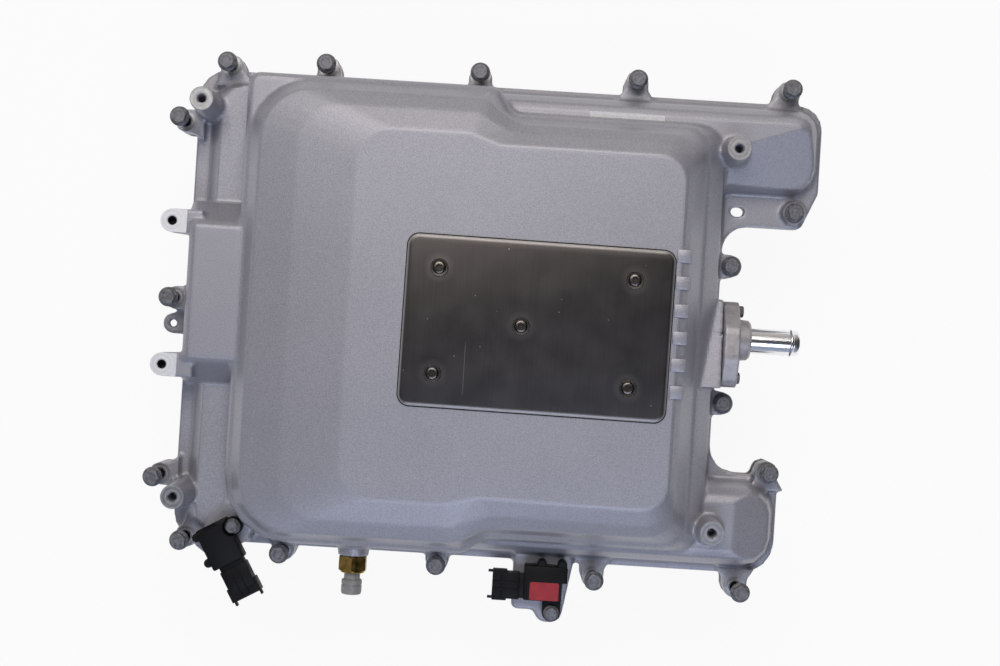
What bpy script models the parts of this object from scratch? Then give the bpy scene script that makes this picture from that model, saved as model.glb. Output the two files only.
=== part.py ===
"""Twin-rotor supercharger for a V8 engine, with a flat charge cooler under its cast upper cover.

The rotors turn in a low case between the cylinder heads and blow upward through the cooler into the
cover, whose side chambers feed the runners down to the two head flanges. +X runs along the rotors to
the inlet end, +Y to the upper bank of runners and +Z up. The origin is the middle of the pad under
the rotor case. Sizes are in millimetres and become metres as each mesh is made.
"""

import math

import bmesh
import bpy
from mathutils import Matrix, Vector

MM = 0.001

# Levels above the base pad
FLANGE_Z = 130.0
GASKET = 1.0
SEAT_GAP = 0.3

# Upper cover, heights above its flange
COVER_FLANGE = 9.0
POCKET_FLOOR = 24.0
ARM_TOP = 38.0
ARM_HOLLOW_TOP = 22.0
BLOCK_TOP = 50.0
CHAMFER_TOP = 60.0
CROWN = 71.0
COVER_WALL = 6.0
LOBE_RADIUS = 8.5
LOBE_TOP = 16.0
LOBE_STEPS = 2
STANDOFF_RADIUS = 8.75
TAB_TOP = 46.0
TAB_RADIUS = 8.5

# Cover bolts: x, y, outward direction in degrees, and how far the head stands above its lobe
COVER_BOLTS = (
    (-204.0, 174.0, 100.0, 17.0),
    (-133.5, 176.8, 90.0, 17.0),
    (-23.5, 177.3, 90.0, 17.0),
    (90.0, 180.5, 90.0, 10.0),
    (200.5, 179.5, 80.0, 14.0),
    (-216.5, -168.5, 225.0, 22.0),
    (-145.5, -174.0, 270.0, 20.0),
    (-33.5, -175.3, 270.0, 20.0),
    (79.5, -179.4, 270.0, 20.0),
    (183.3, -180.8, 270.0, 24.0),
    (-234.6, 132.2, 180.0, 22.0),
    (-235.2, 3.7, 180.0, 20.0),
    (-237.8, -124.3, 180.0, 24.0),
    (209.5, 92.5, None, 1.0),
    (166.0, 51.0, 0.0, 1.0),
    (165.8, -48.6, 0.0, 1.0),
    (201.0, -96.5, 90.0, 10.0),
)
BOLT_SHANK = 3.0
BOLT_HOLE = 3.6
BOLT_LENGTH = 16.0
HOLE_SIDES = 8

# Machined stand-offs on the cover: x, y, foot level and top level above its flange
STANDOFFS = (
    (-216.2, 143.2, 4.0, 58.0),
    (-219.6, -136.0, 4.0, 58.0),
    (160.6, 131.0, 28.0, 62.0),
    (158.0, -137.5, 28.0, 62.0),
)
STANDOFF_HOLE = 3.2
STANDOFF_DEPTH = 16.0

# Case edge beside the upper arm, clear of the cover's slotted web
CASE_WEB_EDGE = 101.0
CASE_WEB_LOBE = 270.0

# Machined tabs and the lifting eye on the nose: x, y
TABS = ((-234.0, 57.7), (-235.3, -44.1))
TAB_HOLE = 3.3
EYE = (-237.0, -15.0)
EYE_RADIUS = 7.5
EYE_HOLE = 3.0
WEB_SLOT = (169.4, 91.5, 10.0, 7.0)

# Trim plate on the crown: centre, size and screws
PLATE_CENTRE = (27.0, -2.5)
PLATE_SIZE = (185.0, 118.6)
PLATE_CORNER = 8.0
PLATE_THICK = 2.0
PLATE_SCREWS = ((-42.5, 35.0), (92.5, 34.5), (16.0, -2.0), (-43.0, -38.0), (92.0, -40.0))

# Finger ribs beside the trim plate
RIB_COUNT = 6
RIB_PITCH = 19.4
RIB_WIDTH = 9.6
RIB_REACH = (120.5, 131.0)
RIB_TOP = 70.6
RIB_TIP = 70.0

# Coolant connection on the inlet end of the cover
COOLANT_FACE = 160.0
COOLANT_Y = (-37.0, 26.0)
COOLANT_PORTS = (34.0, 8.0)
COOLANT_PORT_Y = -2.0
COOLANT_BOLTS = (18.5, -29.5)
COOLANT_BOLT_Z = 21.0

# Finishes: colour, roughness, metallic
CAST_SILVER = ("9A99A3", 0.55, 0.35)
STAINLESS = ("4C4A49", 0.32, 1.0)
ZINC = ("77787B", 0.45, 0.9)
CHROME = ("C9CACD", 0.08, 1.0)
BRASS = ("8A6A2C", 0.35, 1.0)
CAST_ALLOY = ("8E8B86", 0.50, 0.8)
STEEL = ("8C8E90", 0.35, 1.0)
BLACK_PLASTIC = ("141416", 0.50, 0.0)
GREY_PLASTIC = ("9B9B98", 0.50, 0.0)
RUBBER = ("202022", 0.80, 0.0)

# Outlines of the cover from its foot to the crown: x, y and corner radius
BLOCK_FOOT = [
    (-186.0, -168.5, 46),
    (-14.0, -168.5, 12),
    (0.0, -157.0, 12),
    (158.0, -157.0, 16),
    (158.0, 151.5, 16),
    (2.0, 151.5, 12),
    (-9.0, 170.5, 12),
    (-186.0, 170.5, 8),
]
BLOCK_SHOULDER = [
    (-186.0, -164.5, 46),
    (-15.0, -164.5, 10),
    (0.0, -153.0, 10),
    (145.0, -153.0, 20),
    (145.0, 147.5, 20),
    (2.0, 147.5, 10),
    (-9.0, 166.0, 10),
    (-186.0, 166.0, 8),
]
CHAMFER_EDGE = [
    (-174.0, -156.0, 38),
    (-22.0, -156.0, 24),
    (4.0, -144.0, 24),
    (134.0, -144.0, 24),
    (134.0, 139.0, 24),
    (6.0, 139.0, 24),
    (-18.0, 155.0, 24),
    (-174.0, 155.0, 36),
]
CROWN_EDGE = [
    (-104.0, -128.0, 24),
    (-30.0, -128.0, 12),
    (-6.0, -122.0, 12),
    (125.0, -124.0, 20),
    (125.0, 122.0, 20),
    (-6.0, 122.0, 12),
    (-26.0, 129.0, 12),
    (-104.0, 129.0, 24),
]
ARMS_FOOT = [
    (-60.0, -166.5, 8),
    (207.5, -166.5, 22),
    (207.5, -104.0, 20),
    (152.0, -104.0, 14),
    (152.0, 105.0, 14),
    (223.6, 105.0, 18),
    (223.6, 167.5, 16),
    (-60.0, 167.5, 8),
]
POCKET_HOLLOW = ((-206.0, -118.0), (-170.0, 128.0))
POCKET_FOOT = [(-218.0, -163.0, 12), (-150.0, -163.0, 4), (-150.0, 163.0, 4), (-216.0, 163.0, 16)]
NOSE_FOOT = [(-225.0, -56.0, 3), (-170.0, -56.0, 3), (-170.0, 74.0, 3), (-225.0, 74.0, 3)]
NOSE_TOP = [(-221.0, -41.0, 4), (-170.0, -41.0, 3), (-170.0, 59.0, 3), (-221.0, 59.0, 4)]

# End of the block above the coolant connection, and the sloping faces cut on the two arms
END_BULGE = 154.5
END_BULGE_FROM = 100.0
END_BULGE_TOP = 36.0
UPPER_FACET = [(150.0, 131.5, 38.0), (150.0, 90.0, 24.4), (240.0, 90.0, 14.7), (240.0, 161.2, 38.0)]
LOWER_FACET = [(176.0, -185.0, 38.0), (240.0, -185.0, 22.0), (240.0, -90.0, 22.0), (176.0, -90.0, 38.0)]

# Sensor seats on the cover, heights above its flange
PROBE_SEAT = (-93.0, -172.6, 30.0)
PROBE_HOLE = 6.2
PROBE_BODY = 12.2
BOOST_PAD_TOP = 18.0
BOOST_PAD = [
    (22.0, -206.0, 4),
    (38.0, -206.0, 4),
    (42.0, -214.5, 8),
    (58.0, -214.5, 8),
    (66.0, -166.0, 4),
    (22.0, -166.0, 2),
]
BOOST_BOLT = (51.0, -206.0)
BOOST_PORT = (40.0, -178.0)
INLET_PAD_TOP = 25.0
INLET_PAD = [
    (-210.0, -172.0, 3),
    (-196.0, -182.0, 3),
    (-170.0, -168.0, 4),
    (-164.0, -150.0, 4),
    (-186.0, -140.0, 4),
]
INLET_BOLT = (-180.0, -157.0)
INLET_PORT = (-188.2, -173.1)
SENSOR_PORT = 5.2
SENSOR_BOLT_HOLE = 2.8

# Charge cooler and its coolant connection
CORE_HALF = (118.0, 104.0)
CORE_HEIGHT = 39.0
CORE_FIN_ROWS = 5
CASE_TOP = FLANGE_Z - GASKET - 2 * SEAT_GAP
MANIFOLD_X = COOLANT_FACE + SEAT_GAP
MANIFOLD_PLATE = 11.0
MANIFOLD_HUB = 19.0
TUBE_END = 214.5
TUBE_RADIUS = 8.8

# Sensors on the cover
SENSOR_BODY = 15.0
SENSOR_TAB = 8.0
TAB_REACH = 6.6
NOZZLE_RADIUS = 4.2
BOOST_PLACE = (61.0, -184.5)
INLET_PLACE = (-195.5, -156.5)
INLET_TURN = -60.0

# Rotor case and end plates
ROTOR_CENTRES = 84.0
ROTOR_Z = 62.0
ROTOR_LOBES = 4
ROTOR_TWIST = 80.0
ROTOR_CLEARANCE = 0.6
BORE_RADIUS = 53.2
TUNNEL_RADIUS = 59.0
END_RADIUS = 56.5
CASE_FRONT = -140.0
CASE_REAR = 100.0
CASE_DECK = 9.0
PORT_PITCH = 111.8
BANK_OFFSET = 8.0
PORT_HALF = 20.0
RUNNER_WALL = 6.0
RUNNER_INNER = 116.0
RUNNER_OUTER = 144.0
HEAD_FACE_RISE = -66.0
HEAD_FLANGE = 10.0
HEAD_FLANGE_SPAN = (112.0, 156.0)
BASE_PAD = (100.0, 44.0)

# Rotors, gears and shafts, each drawn along +X about its own axis
SHAFT_RADIUS = 14.0
ROTOR_START = -138.0
ROTOR_END = 98.0
ROTOR_SLICES = 5
LOBE_POINTS = 12
GEAR_TEETH = 20
GEAR_FACE = (-174.0, -158.0)
PULLEY_FACE = (-222.0, -196.0)

# End plates, drive end cover and bearings: places along X, then bore, outside radius and width
FRONT_PLATE = (-152.3, -140.3)
END_COVER = (-190.0, -152.6)
REAR_PLATE = (100.3, 108.3)
FRONT_BEARING = (SHAFT_RADIUS + 0.5, 26.0, 11.0)
REAR_BEARING = (SHAFT_RADIUS + 0.5, 22.0, 7.4)
SNOUT_BEARING = (SHAFT_RADIUS + 0.5, 22.0, 9.4)

# Throttle inlet, bypass neck and valve, and the vacuum can
INLET_Z = 44.0
INLET_RADIUS = 42.0
INLET_BORE = 37.0
INLET_SIDES = 18
INLET_START = REAR_PLATE[1] + SEAT_GAP
INLET_END = 156.0
THROTTLE_FLANGE = 8.0
STUD_OFFSET = 36.0
NECK_RADIUS = 20.0
BYPASS_PLACE = (142.0, 0.0)
BYPASS_BORE = 16.0
VALVE_Z = 100.0
VALVE_DISC = 15.0
LEVER_Y = -58.0
LEVER_ARM = 12.0
ACTUATOR_RADIUS = 12.5
CAN_Z = 44.0


def new_collection(name):
    collection = bpy.data.collections.new(name)
    bpy.context.scene.collection.children.link(collection)
    return collection


def mesh_object(name, shape):
    """Wraps a finished bmesh, drawn in millimetres, as an object in the tools collection."""
    bmesh.ops.scale(shape, vec=(MM, MM, MM), verts=shape.verts)
    bmesh.ops.recalc_face_normals(shape, faces=shape.faces)
    mesh = bpy.data.meshes.new(name)
    shape.to_mesh(mesh)
    shape.free()
    made = bpy.data.objects.new(name, mesh)
    tools.objects.link(made)
    made.hide_render = True
    made.display_type = "WIRE"
    return made


def rounded(corners, steps=4):
    """Closed outline through corners (x, y, radius), each rounded by an arc of equal steps."""
    points = []
    for index, (x, y, radius) in enumerate(corners):
        here = Vector((x, y))
        back = (Vector(corners[index - 1][:2]) - here).normalized()
        ahead = (Vector(corners[(index + 1) % len(corners)][:2]) - here).normalized()
        if radius == 0:
            points.append(here)
            continue
        half = back.angle(ahead) / 2
        reach = radius / math.tan(half)
        centre = here + (back + ahead).normalized() * (radius / math.sin(half))
        first = here + back * reach - centre
        last = here + ahead * reach - centre
        start = math.atan2(first.y, first.x)
        sweep = (math.atan2(last.y, last.x) - start + math.pi) % math.tau - math.pi
        for step in range(steps + 1):
            angle = start + sweep * step / steps
            points.append(centre + Vector((math.cos(angle), math.sin(angle))) * radius)
    return points


def circle(x, y, radius, sides=16):
    turn = math.tau / sides
    return [Vector((x + radius * math.cos(turn * n), y + radius * math.sin(turn * n))) for n in range(sides)]


def flat(name, outlines, low, high):
    """Plate between two levels: the first outline less any further ones inside it."""
    curve = bpy.data.curves.new(name, "CURVE")
    curve.dimensions = "2D"
    curve.fill_mode = "BOTH"
    curve.extrude = (high - low) / 2 * MM
    for outline in outlines:
        spline = curve.splines.new("POLY")
        spline.points.add(len(outline) - 1)
        for point, place in zip(spline.points, outline):
            point.co = (place.x * MM, place.y * MM, 0.0, 1.0)
        spline.use_cyclic_u = True
    drawn = bpy.data.objects.new(name, curve)
    tools.objects.link(drawn)
    graph = bpy.context.evaluated_depsgraph_get()
    shape = bmesh.new()
    shape.from_mesh(bpy.data.meshes.new_from_object(drawn.evaluated_get(graph)))
    bpy.data.objects.remove(drawn)
    bmesh.ops.remove_doubles(shape, verts=shape.verts, dist=0.00001)
    bmesh.ops.scale(shape, vec=(1 / MM, 1 / MM, 1 / MM), verts=shape.verts)
    bmesh.ops.translate(shape, vec=(0, 0, (low + high) / 2), verts=shape.verts)
    return mesh_object(name, shape)


def loft(name, rings):
    """Closed skin through rings of equal point counts, capped at both ends."""
    shape = bmesh.new()
    loops = [[shape.verts.new(point) for point in ring] for ring in rings]
    count = len(loops[0])
    for lower, upper in zip(loops, loops[1:]):
        for n in range(count):
            after = (n + 1) % count
            shape.faces.new((lower[n], lower[after], upper[after], upper[n]))
    shape.faces.new(list(reversed(loops[0])))
    shape.faces.new(loops[-1])
    return mesh_object(name, shape)


def tiers(name, levels, steps=3):
    """Loft of rounded outlines stacked upward; each level is (height, corners)."""
    rings = [[(p.x, p.y, height) for p in rounded(corners, steps)] for height, corners in levels]
    return loft(name, rings)


def rod(name, radius, start, end, sides=16, end_radius=None):
    """Round bar, or a taper, between two points."""
    start = Vector(start)
    run = Vector(end) - start
    shape = bmesh.new()
    turn = run.to_track_quat("Z", "Y").to_matrix().to_4x4()
    bmesh.ops.create_cone(
        shape,
        cap_ends=True,
        segments=sides,
        radius1=radius,
        radius2=radius if end_radius is None else end_radius,
        depth=run.length,
        matrix=Matrix.Translation(start + run / 2) @ turn,
    )
    return mesh_object(name, shape)


def block(name, low, high):
    """Box between two opposite corners."""
    low = Vector(low)
    size = Vector(high) - low
    shape = bmesh.new()
    place = Matrix.Translation(low + size / 2) @ Matrix.Diagonal((*size, 1))
    bmesh.ops.create_cube(shape, size=1.0, matrix=place)
    return mesh_object(name, shape)


def combine(target, tool, operation):
    tool.parent = target
    step = target.modifiers.new(tool.name, "BOOLEAN")
    step.object = tool
    step.operation = operation
    step.solver = "EXACT"


def join(target, *pieces):
    for piece in pieces:
        combine(target, piece, "UNION")


def cut(target, *pieces):
    for piece in pieces:
        combine(target, piece, "DIFFERENCE")


def linear(code):
    """Linear colour of a six-digit sRGB code."""
    values = [int(code[n : n + 2], 16) / 255 for n in (0, 2, 4)]
    return [v / 12.92 if v <= 0.04045 else ((v + 0.055) / 1.055) ** 2.4 for v in values] + [1.0]


def finish(piece, name, look, place=(0.0, 0.0, 0.0), parent=None):
    """Names a finished piece, gives it its own material and moves it among the parts."""
    colour, roughness, metallic = look
    material = bpy.data.materials.new(name)
    material.use_nodes = True
    shader = material.node_tree.nodes["Principled BSDF"]
    shader.inputs["Base Color"].default_value = linear(colour)
    shader.inputs["Roughness"].default_value = roughness
    shader.inputs["Metallic"].default_value = metallic
    piece.name = name
    piece.data.materials.clear()
    piece.data.materials.append(material)
    piece.location = Vector(place) * MM
    piece.parent = parent
    piece.hide_render = False
    piece.display_type = "TEXTURED"
    tools.objects.unlink(piece)
    parts.objects.link(piece)
    return piece


def clear_scene():
    for old in list(bpy.data.objects):
        bpy.data.objects.remove(old)
    for old in list(bpy.data.collections):
        bpy.data.collections.remove(old)


clear_scene()
parts = new_collection("supercharger")
tools = new_collection("cutters")


def inset(corners, by):
    """Corner list moved inward by a distance, with tighter corners, for draft and wall thickness."""
    moved = []
    for index, (x, y, radius) in enumerate(corners):
        here = Vector((x, y))
        into = (here - Vector(corners[index - 1][:2])).normalized()
        out = (Vector(corners[(index + 1) % len(corners)][:2]) - here).normalized()
        left_in = Vector((-into.y, into.x))
        left_out = Vector((-out.y, out.x))
        shift = (left_in + left_out) / (1 + left_in.dot(left_out)) * by
        moved.append((x + shift.x, y + shift.y, max(radius - by * 0.75, 2.0)))
    return moved


# Upper cover
def flange_corners(web_edge=81.0):
    """Flange outline, anticlockwise from lower left; the case has no web beside the upper arm."""
    return [
        (-227.5, -171.5, 20),
        (211.0, -171.5, 24),
        (211.0, -99.5, 10),
        (160.0, -99.5, 20),
        (160.0, web_edge, 18),
        (216.0, web_edge, 6),
        (227.6, 108.0, 8),
        (227.6, 171.5, 18),
        (-227.5, 171.5, 20),
    ]


def lobe(x, y, direction, low, high):
    """Bolt lobe that grows out of the flange edge with flared sides, or a round boss on the web."""
    if direction is None:
        return rod("boss", LOBE_RADIUS, (x, y, low), (x, y, high), 12)
    half_foot = LOBE_RADIUS + 5.0
    root = -LOBE_RADIUS - 5.0
    tip = LOBE_RADIUS
    corners = [
        (-half_foot, root, 0),
        (half_foot, root, 0),
        (LOBE_RADIUS, root + 8.0, 0),
        (LOBE_RADIUS, tip, tip - 0.05),
        (-LOBE_RADIUS, tip, tip - 0.05),
        (-LOBE_RADIUS, root + 8.0, 0),
    ]
    turn = Matrix.Rotation(math.radians(direction - 90.0), 2)
    outline = [turn @ p + Vector((x, y)) for p in rounded(corners, LOBE_STEPS)]
    return flat("lobe", [outline], low, high)


def cover_bodies():
    """Stacked tiers of the casting: low pocket, runner arms, nose, block and domed crown."""
    pocket_top = [(x + 8.0 if x < -200.0 else x, y * 0.975, r) for x, y, r in POCKET_FOOT]
    levels = [(1.0, POCKET_FOOT), (COVER_FLANGE, POCKET_FOOT), (POCKET_FLOOR, pocket_top)]
    pocket = tiers("pocket", levels)
    arms = tiers(
        "arms",
        [
            (1.5, ARMS_FOOT),
            (COVER_FLANGE, ARMS_FOOT),
            (ARM_TOP - 9.0, inset(ARMS_FOOT, 4.0)),
            (ARM_TOP - 2.0, inset(ARMS_FOOT, 8.5)),
            (ARM_TOP, inset(ARMS_FOOT, 14.0)),
        ],
    )
    nose_lip = inset(NOSE_TOP, 3.5)
    nose = tiers(
        "nose",
        [(2.0, NOSE_FOOT), (POCKET_FLOOR, NOSE_FOOT), (BLOCK_TOP - 3.0, NOSE_TOP), (BLOCK_TOP, nose_lip)],
    )
    shoulder = inset(BLOCK_SHOULDER, 3.0)
    bulge = [
        (END_BULGE if x > END_BULGE_FROM else x * 0.3 + a * 0.7, y * 0.3 + b * 0.7, r)
        for (x, y, r), (a, b, _) in zip(BLOCK_FOOT, BLOCK_SHOULDER)
    ]
    main = tiers(
        "block",
        [
            (2.5, BLOCK_FOOT),
            (COVER_FLANGE, BLOCK_FOOT),
            (END_BULGE_TOP, bulge),
            (BLOCK_TOP - 3.0, BLOCK_SHOULDER),
            (BLOCK_TOP, shoulder),
        ],
        4,
    )
    spring = [(x, y, 40.0 if x < -180.0 and y > 0 else r) for x, y, r in inset(BLOCK_SHOULDER, 4.5)]
    swell = [
        (x * 0.6 + a * 0.4, y * 0.6 + b * 0.4, (r + c) / 2)
        for (x, y, r), (a, b, c) in zip(CHAMFER_EDGE, CROWN_EDGE)
    ]
    dome = tiers(
        "dome",
        [
            (BLOCK_TOP - 8.0, inset(spring, 3.0)),
            (BLOCK_TOP, spring),
            (CHAMFER_TOP, CHAMFER_EDGE),
            (CHAMFER_TOP + 5.5, swell),
            (CROWN, CROWN_EDGE),
        ],
        6,
    )
    cut(arms, facet("upper_facet", UPPER_FACET), facet("lower_facet", LOWER_FACET))
    return pocket, arms, nose, main, dome


def facet(name, corners):
    """Tool over one sloping face: (x, y, height) corners, open upward."""
    return loft(name, [corners, [(x, y, CROWN) for x, y, _ in corners]])


def cover_bosses():
    """Stand-offs, machined tabs with gussets, eye, sensor pads and coolant boss of the cover."""
    made = []
    for x, y, foot, top in STANDOFFS:
        made.append(rod("standoff", STANDOFF_RADIUS + 2.0, (x, y, foot), (x, y, top), 14, STANDOFF_RADIUS))
    for x, y in TABS:
        far = x - TAB_RADIUS
        plan = [
            (x + 22.0, y - TAB_RADIUS, 0.8),
            (x + 22.0, y + TAB_RADIUS, 0.8),
            (far, y + TAB_RADIUS, TAB_RADIUS - 0.1),
            (far, y - TAB_RADIUS, TAB_RADIUS - 0.1),
        ]
        gusset = [(a + (13.0 if a == far else 0.0), b, min(r, 4.0)) for a, b, r in plan]
        made.append(tiers("tab", [(10.0, gusset), (TAB_TOP - 9.0, plan), (TAB_TOP, plan)]))
    x, y = EYE
    neck = [
        (x + 14.0, y - EYE_RADIUS, 0),
        (x + 14.0, y + EYE_RADIUS, 0),
        (x - EYE_RADIUS, y + EYE_RADIUS, EYE_RADIUS - 0.05),
        (x - EYE_RADIUS, y - EYE_RADIUS, EYE_RADIUS - 0.05),
    ]
    made.append(flat("eye", [rounded(neck)], 0.5, 7.0))
    low_y, high_y = COOLANT_Y
    made.append(
        loft(
            "coolant_boss",
            [
                [(120.0, low_y, 0.8), (120.0, high_y, 0.8), (120.0, high_y, 36.0), (120.0, low_y, 48.0)],
                [
                    (COOLANT_FACE, low_y, 0.8),
                    (COOLANT_FACE, high_y, 0.8),
                    (COOLANT_FACE, high_y, 36.0),
                    (COOLANT_FACE, low_y, 48.0),
                ],
            ],
        )
    )
    made.append(rod("probe_boss", 11.0, PROBE_SEAT, (PROBE_SEAT[0], -150.0, PROBE_SEAT[2]), 14, 13.0))
    made.append(flat("boost_pad", [rounded(BOOST_PAD, 3)], 0.6, BOOST_PAD_TOP))
    made.append(flat("inlet_pad", [rounded(INLET_PAD, 3)], 0.7, INLET_PAD_TOP))
    for n in range(RIB_COUNT):
        y = (n - (RIB_COUNT - 1) / 2) * RIB_PITCH
        plan, tip = ([(x, y - RIB_WIDTH / 2), (x, y + RIB_WIDTH / 2)] for x in RIB_REACH)
        made.append(
            loft(
                "rib",
                [
                    [(*plan[0], BLOCK_TOP), (*plan[1], BLOCK_TOP), (*plan[1], RIB_TOP), (*plan[0], RIB_TOP)],
                    [(*tip[0], BLOCK_TOP), (*tip[1], BLOCK_TOP), (*tip[1], RIB_TIP), (*tip[0], RIB_TIP)],
                ],
            )
        )
    return made


def cover_cavity():
    """Hollow of the cover: plenum, runner arms, front pocket and nose, open at the bottom."""
    wall = COVER_WALL
    inner = [(x, y, max(r - wall, 6.0)) for x, y, r in inset(BLOCK_SHOULDER, wall + 1.5)]
    plenum = tiers(
        "plenum",
        [
            (-1.0, inner),
            (BLOCK_TOP - wall - 2.0, inner),
            (CHAMFER_TOP - wall, inset(CHAMFER_EDGE, wall)),
            (CROWN - wall, CROWN_EDGE),
        ],
        3,
    )
    arm_foot = inset(ARMS_FOOT, wall)
    arm_roof = inset(ARMS_FOOT, 14.0)
    arms = tiers("arm_hollow", [(-1.2, arm_foot), (10.0, arm_foot), (ARM_HOLLOW_TOP, arm_roof)], 3)
    pocket_low, pocket_high = POCKET_HOLLOW
    pocket = block("pocket_hollow", (*pocket_low, -1.4), (*pocket_high, POCKET_FLOOR - wall))
    nose_levels = [(-1.6, inset(NOSE_TOP, wall)), (BLOCK_TOP - wall, inset(NOSE_TOP, wall + 2.0))]
    nose = tiers("nose_hollow", nose_levels, 2)
    return plenum, arms, pocket, nose


def cover_holes():
    """Drilled holes of the cover: bolts, stand-offs, tabs, eye, slot, plate screws, coolant and sensors."""
    made = []
    for x, y, _, _ in COVER_BOLTS:
        made.append(rod("bolt_hole", BOLT_HOLE, (x, y, -5.0), (x, y, 80.0), HOLE_SIDES))
    for x, y, _, top in STANDOFFS:
        bottom = (x, y, top - STANDOFF_DEPTH)
        made.append(rod("standoff_hole", STANDOFF_HOLE, bottom, (x, y, top + 2.0), HOLE_SIDES))
    for x, y in TABS:
        made.append(rod("tab_hole", TAB_HOLE, (x, y, 0.0), (x, y, 60.0), HOLE_SIDES))
    made.append(rod("eye_hole", EYE_HOLE, (*EYE, -2.0), (*EYE, 12.0), HOLE_SIDES))
    x, y, long, wide = WEB_SLOT
    slot = [
        (x - long / 2, y - wide / 2, wide / 2 - 0.05),
        (x + long / 2, y - wide / 2, wide / 2 - 0.05),
        (x + long / 2, y + wide / 2, wide / 2 - 0.05),
        (x - long / 2, y + wide / 2, wide / 2 - 0.05),
    ]
    made.append(flat("web_slot", [rounded(slot, 3)], -2.0, 14.0))
    for x, y in PLATE_SCREWS:
        made.append(rod("screw_hole", 3.3, (x, y, CROWN - 16.0), (x, y, CROWN + 4.0), HOLE_SIDES))
    for height in COOLANT_PORTS:
        ends = [(x, COOLANT_PORT_Y, height) for x in (110.0, COOLANT_FACE + 4.0)]
        made.append(rod("coolant_port", 6.5, *ends, 12))
    for y in COOLANT_BOLTS:
        ends = [(x, y, COOLANT_BOLT_Z) for x in (COOLANT_FACE - 12.0, COOLANT_FACE + 4.0)]
        made.append(rod("coolant_thread", 3.3, *ends, HOLE_SIDES))
    x, y, height = PROBE_SEAT
    made.append(rod("probe_hole", PROBE_HOLE, (x, y - 3.0, height), (x, -130.0, height), HOLE_SIDES))
    for name, place, radius, pad_top in (
        ("boost_port", BOOST_PORT, SENSOR_PORT, BOOST_PAD_TOP),
        ("boost_thread", BOOST_BOLT, SENSOR_BOLT_HOLE, BOOST_PAD_TOP),
        ("inlet_port", INLET_PORT, SENSOR_PORT, INLET_PAD_TOP),
        ("inlet_thread", INLET_BOLT, SENSOR_BOLT_HOLE, INLET_PAD_TOP),
    ):
        made.append(rod(name, radius, (*place, 3.0), (*place, pad_top + 4.0), HOLE_SIDES))
    return made


def upper_cover():
    """Whole upper cover casting, drawn with its flange underside at height zero."""
    cover = flat("upper_cover", [rounded(flange_corners(), 4)], 0.0, COVER_FLANGE)
    join(cover, *cover_bodies())
    for x, y, direction, _ in COVER_BOLTS:
        join(cover, lobe(x, y, direction, 0.0, LOBE_TOP))
    join(cover, *cover_bosses())
    cut(cover, *cover_cavity())
    cut(cover, *cover_holes())
    return finish(cover, "upper_cover", CAST_SILVER, (0.0, 0.0, FLANGE_Z))


cover = upper_cover()


# Fasteners
def ring(radius, height, sides=12, flats=None):
    """Ring of points about +Z; flats gives a hexagon of that half width across flats instead."""
    points = []
    for n in range(sides):
        angle = math.tau * n / sides
        if flats is None:
            reach = radius
        else:
            reach = flats / math.cos(math.pi / 6 - angle % (math.pi / 3))
        points.append((reach * math.cos(angle), reach * math.sin(angle), height))
    return points


def flange_bolt(name, shank_radius, shank_length, size=1.0):
    """Hexagon bolt with a washer flange; the underside of its flange is at height zero."""
    rings = [
        ring(shank_radius, -shank_length),
        ring(shank_radius, 0.0),
        ring(7.0 * size, 0.6 * size),
        ring(0.0, 2.2 * size, flats=5.0 * size),
        ring(0.0, 6.6 * size, flats=5.0 * size),
    ]
    return loft(name, rings)


def button_screw(name):
    """Domed socket screw; its head seats at height zero."""
    rings = [ring(2.7, -8.0), ring(2.7, 0.0), ring(5.4, 0.0), ring(5.2, 1.2), ring(3.4, 2.8)]
    return loft(name, rings)


def turned_about_x(piece):
    """Turns a piece drawn along +Z so that it points along +X."""
    piece.data.transform(Matrix.Rotation(math.pi / 2, 4, "Y"))
    return piece


def cover_bolts():
    for n, (x, y, _, lift) in enumerate(COVER_BOLTS, 1):
        bolt = flange_bolt("bolt", BOLT_SHANK, lift + BOLT_LENGTH + 8.0)
        finish(bolt, f"cover_bolt_{n:02d}", ZINC, (x, y, FLANGE_Z + LOBE_TOP + SEAT_GAP + lift))


def trim_plate():
    x, y = PLATE_CENTRE
    half_x = PLATE_SIZE[0] / 2
    half_y = PLATE_SIZE[1] / 2
    corners = [
        (x - half_x, y - half_y, PLATE_CORNER),
        (x + half_x, y - half_y, PLATE_CORNER),
        (x + half_x, y + half_y, PLATE_CORNER),
        (x - half_x, y + half_y, PLATE_CORNER),
    ]
    holes = [circle(a, b, 3.3, HOLE_SIDES) for a, b in PLATE_SCREWS]
    plate = flat("plate", [rounded(corners, 3), *holes], 0.0, PLATE_THICK)
    level = FLANGE_Z + CROWN + SEAT_GAP
    finish(plate, "trim_plate", STAINLESS, (0.0, 0.0, level))
    for n, (a, b) in enumerate(PLATE_SCREWS, 1):
        finish(button_screw("screw"), f"trim_plate_screw_{n}", ZINC, (a, b, level + PLATE_THICK + SEAT_GAP))


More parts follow.
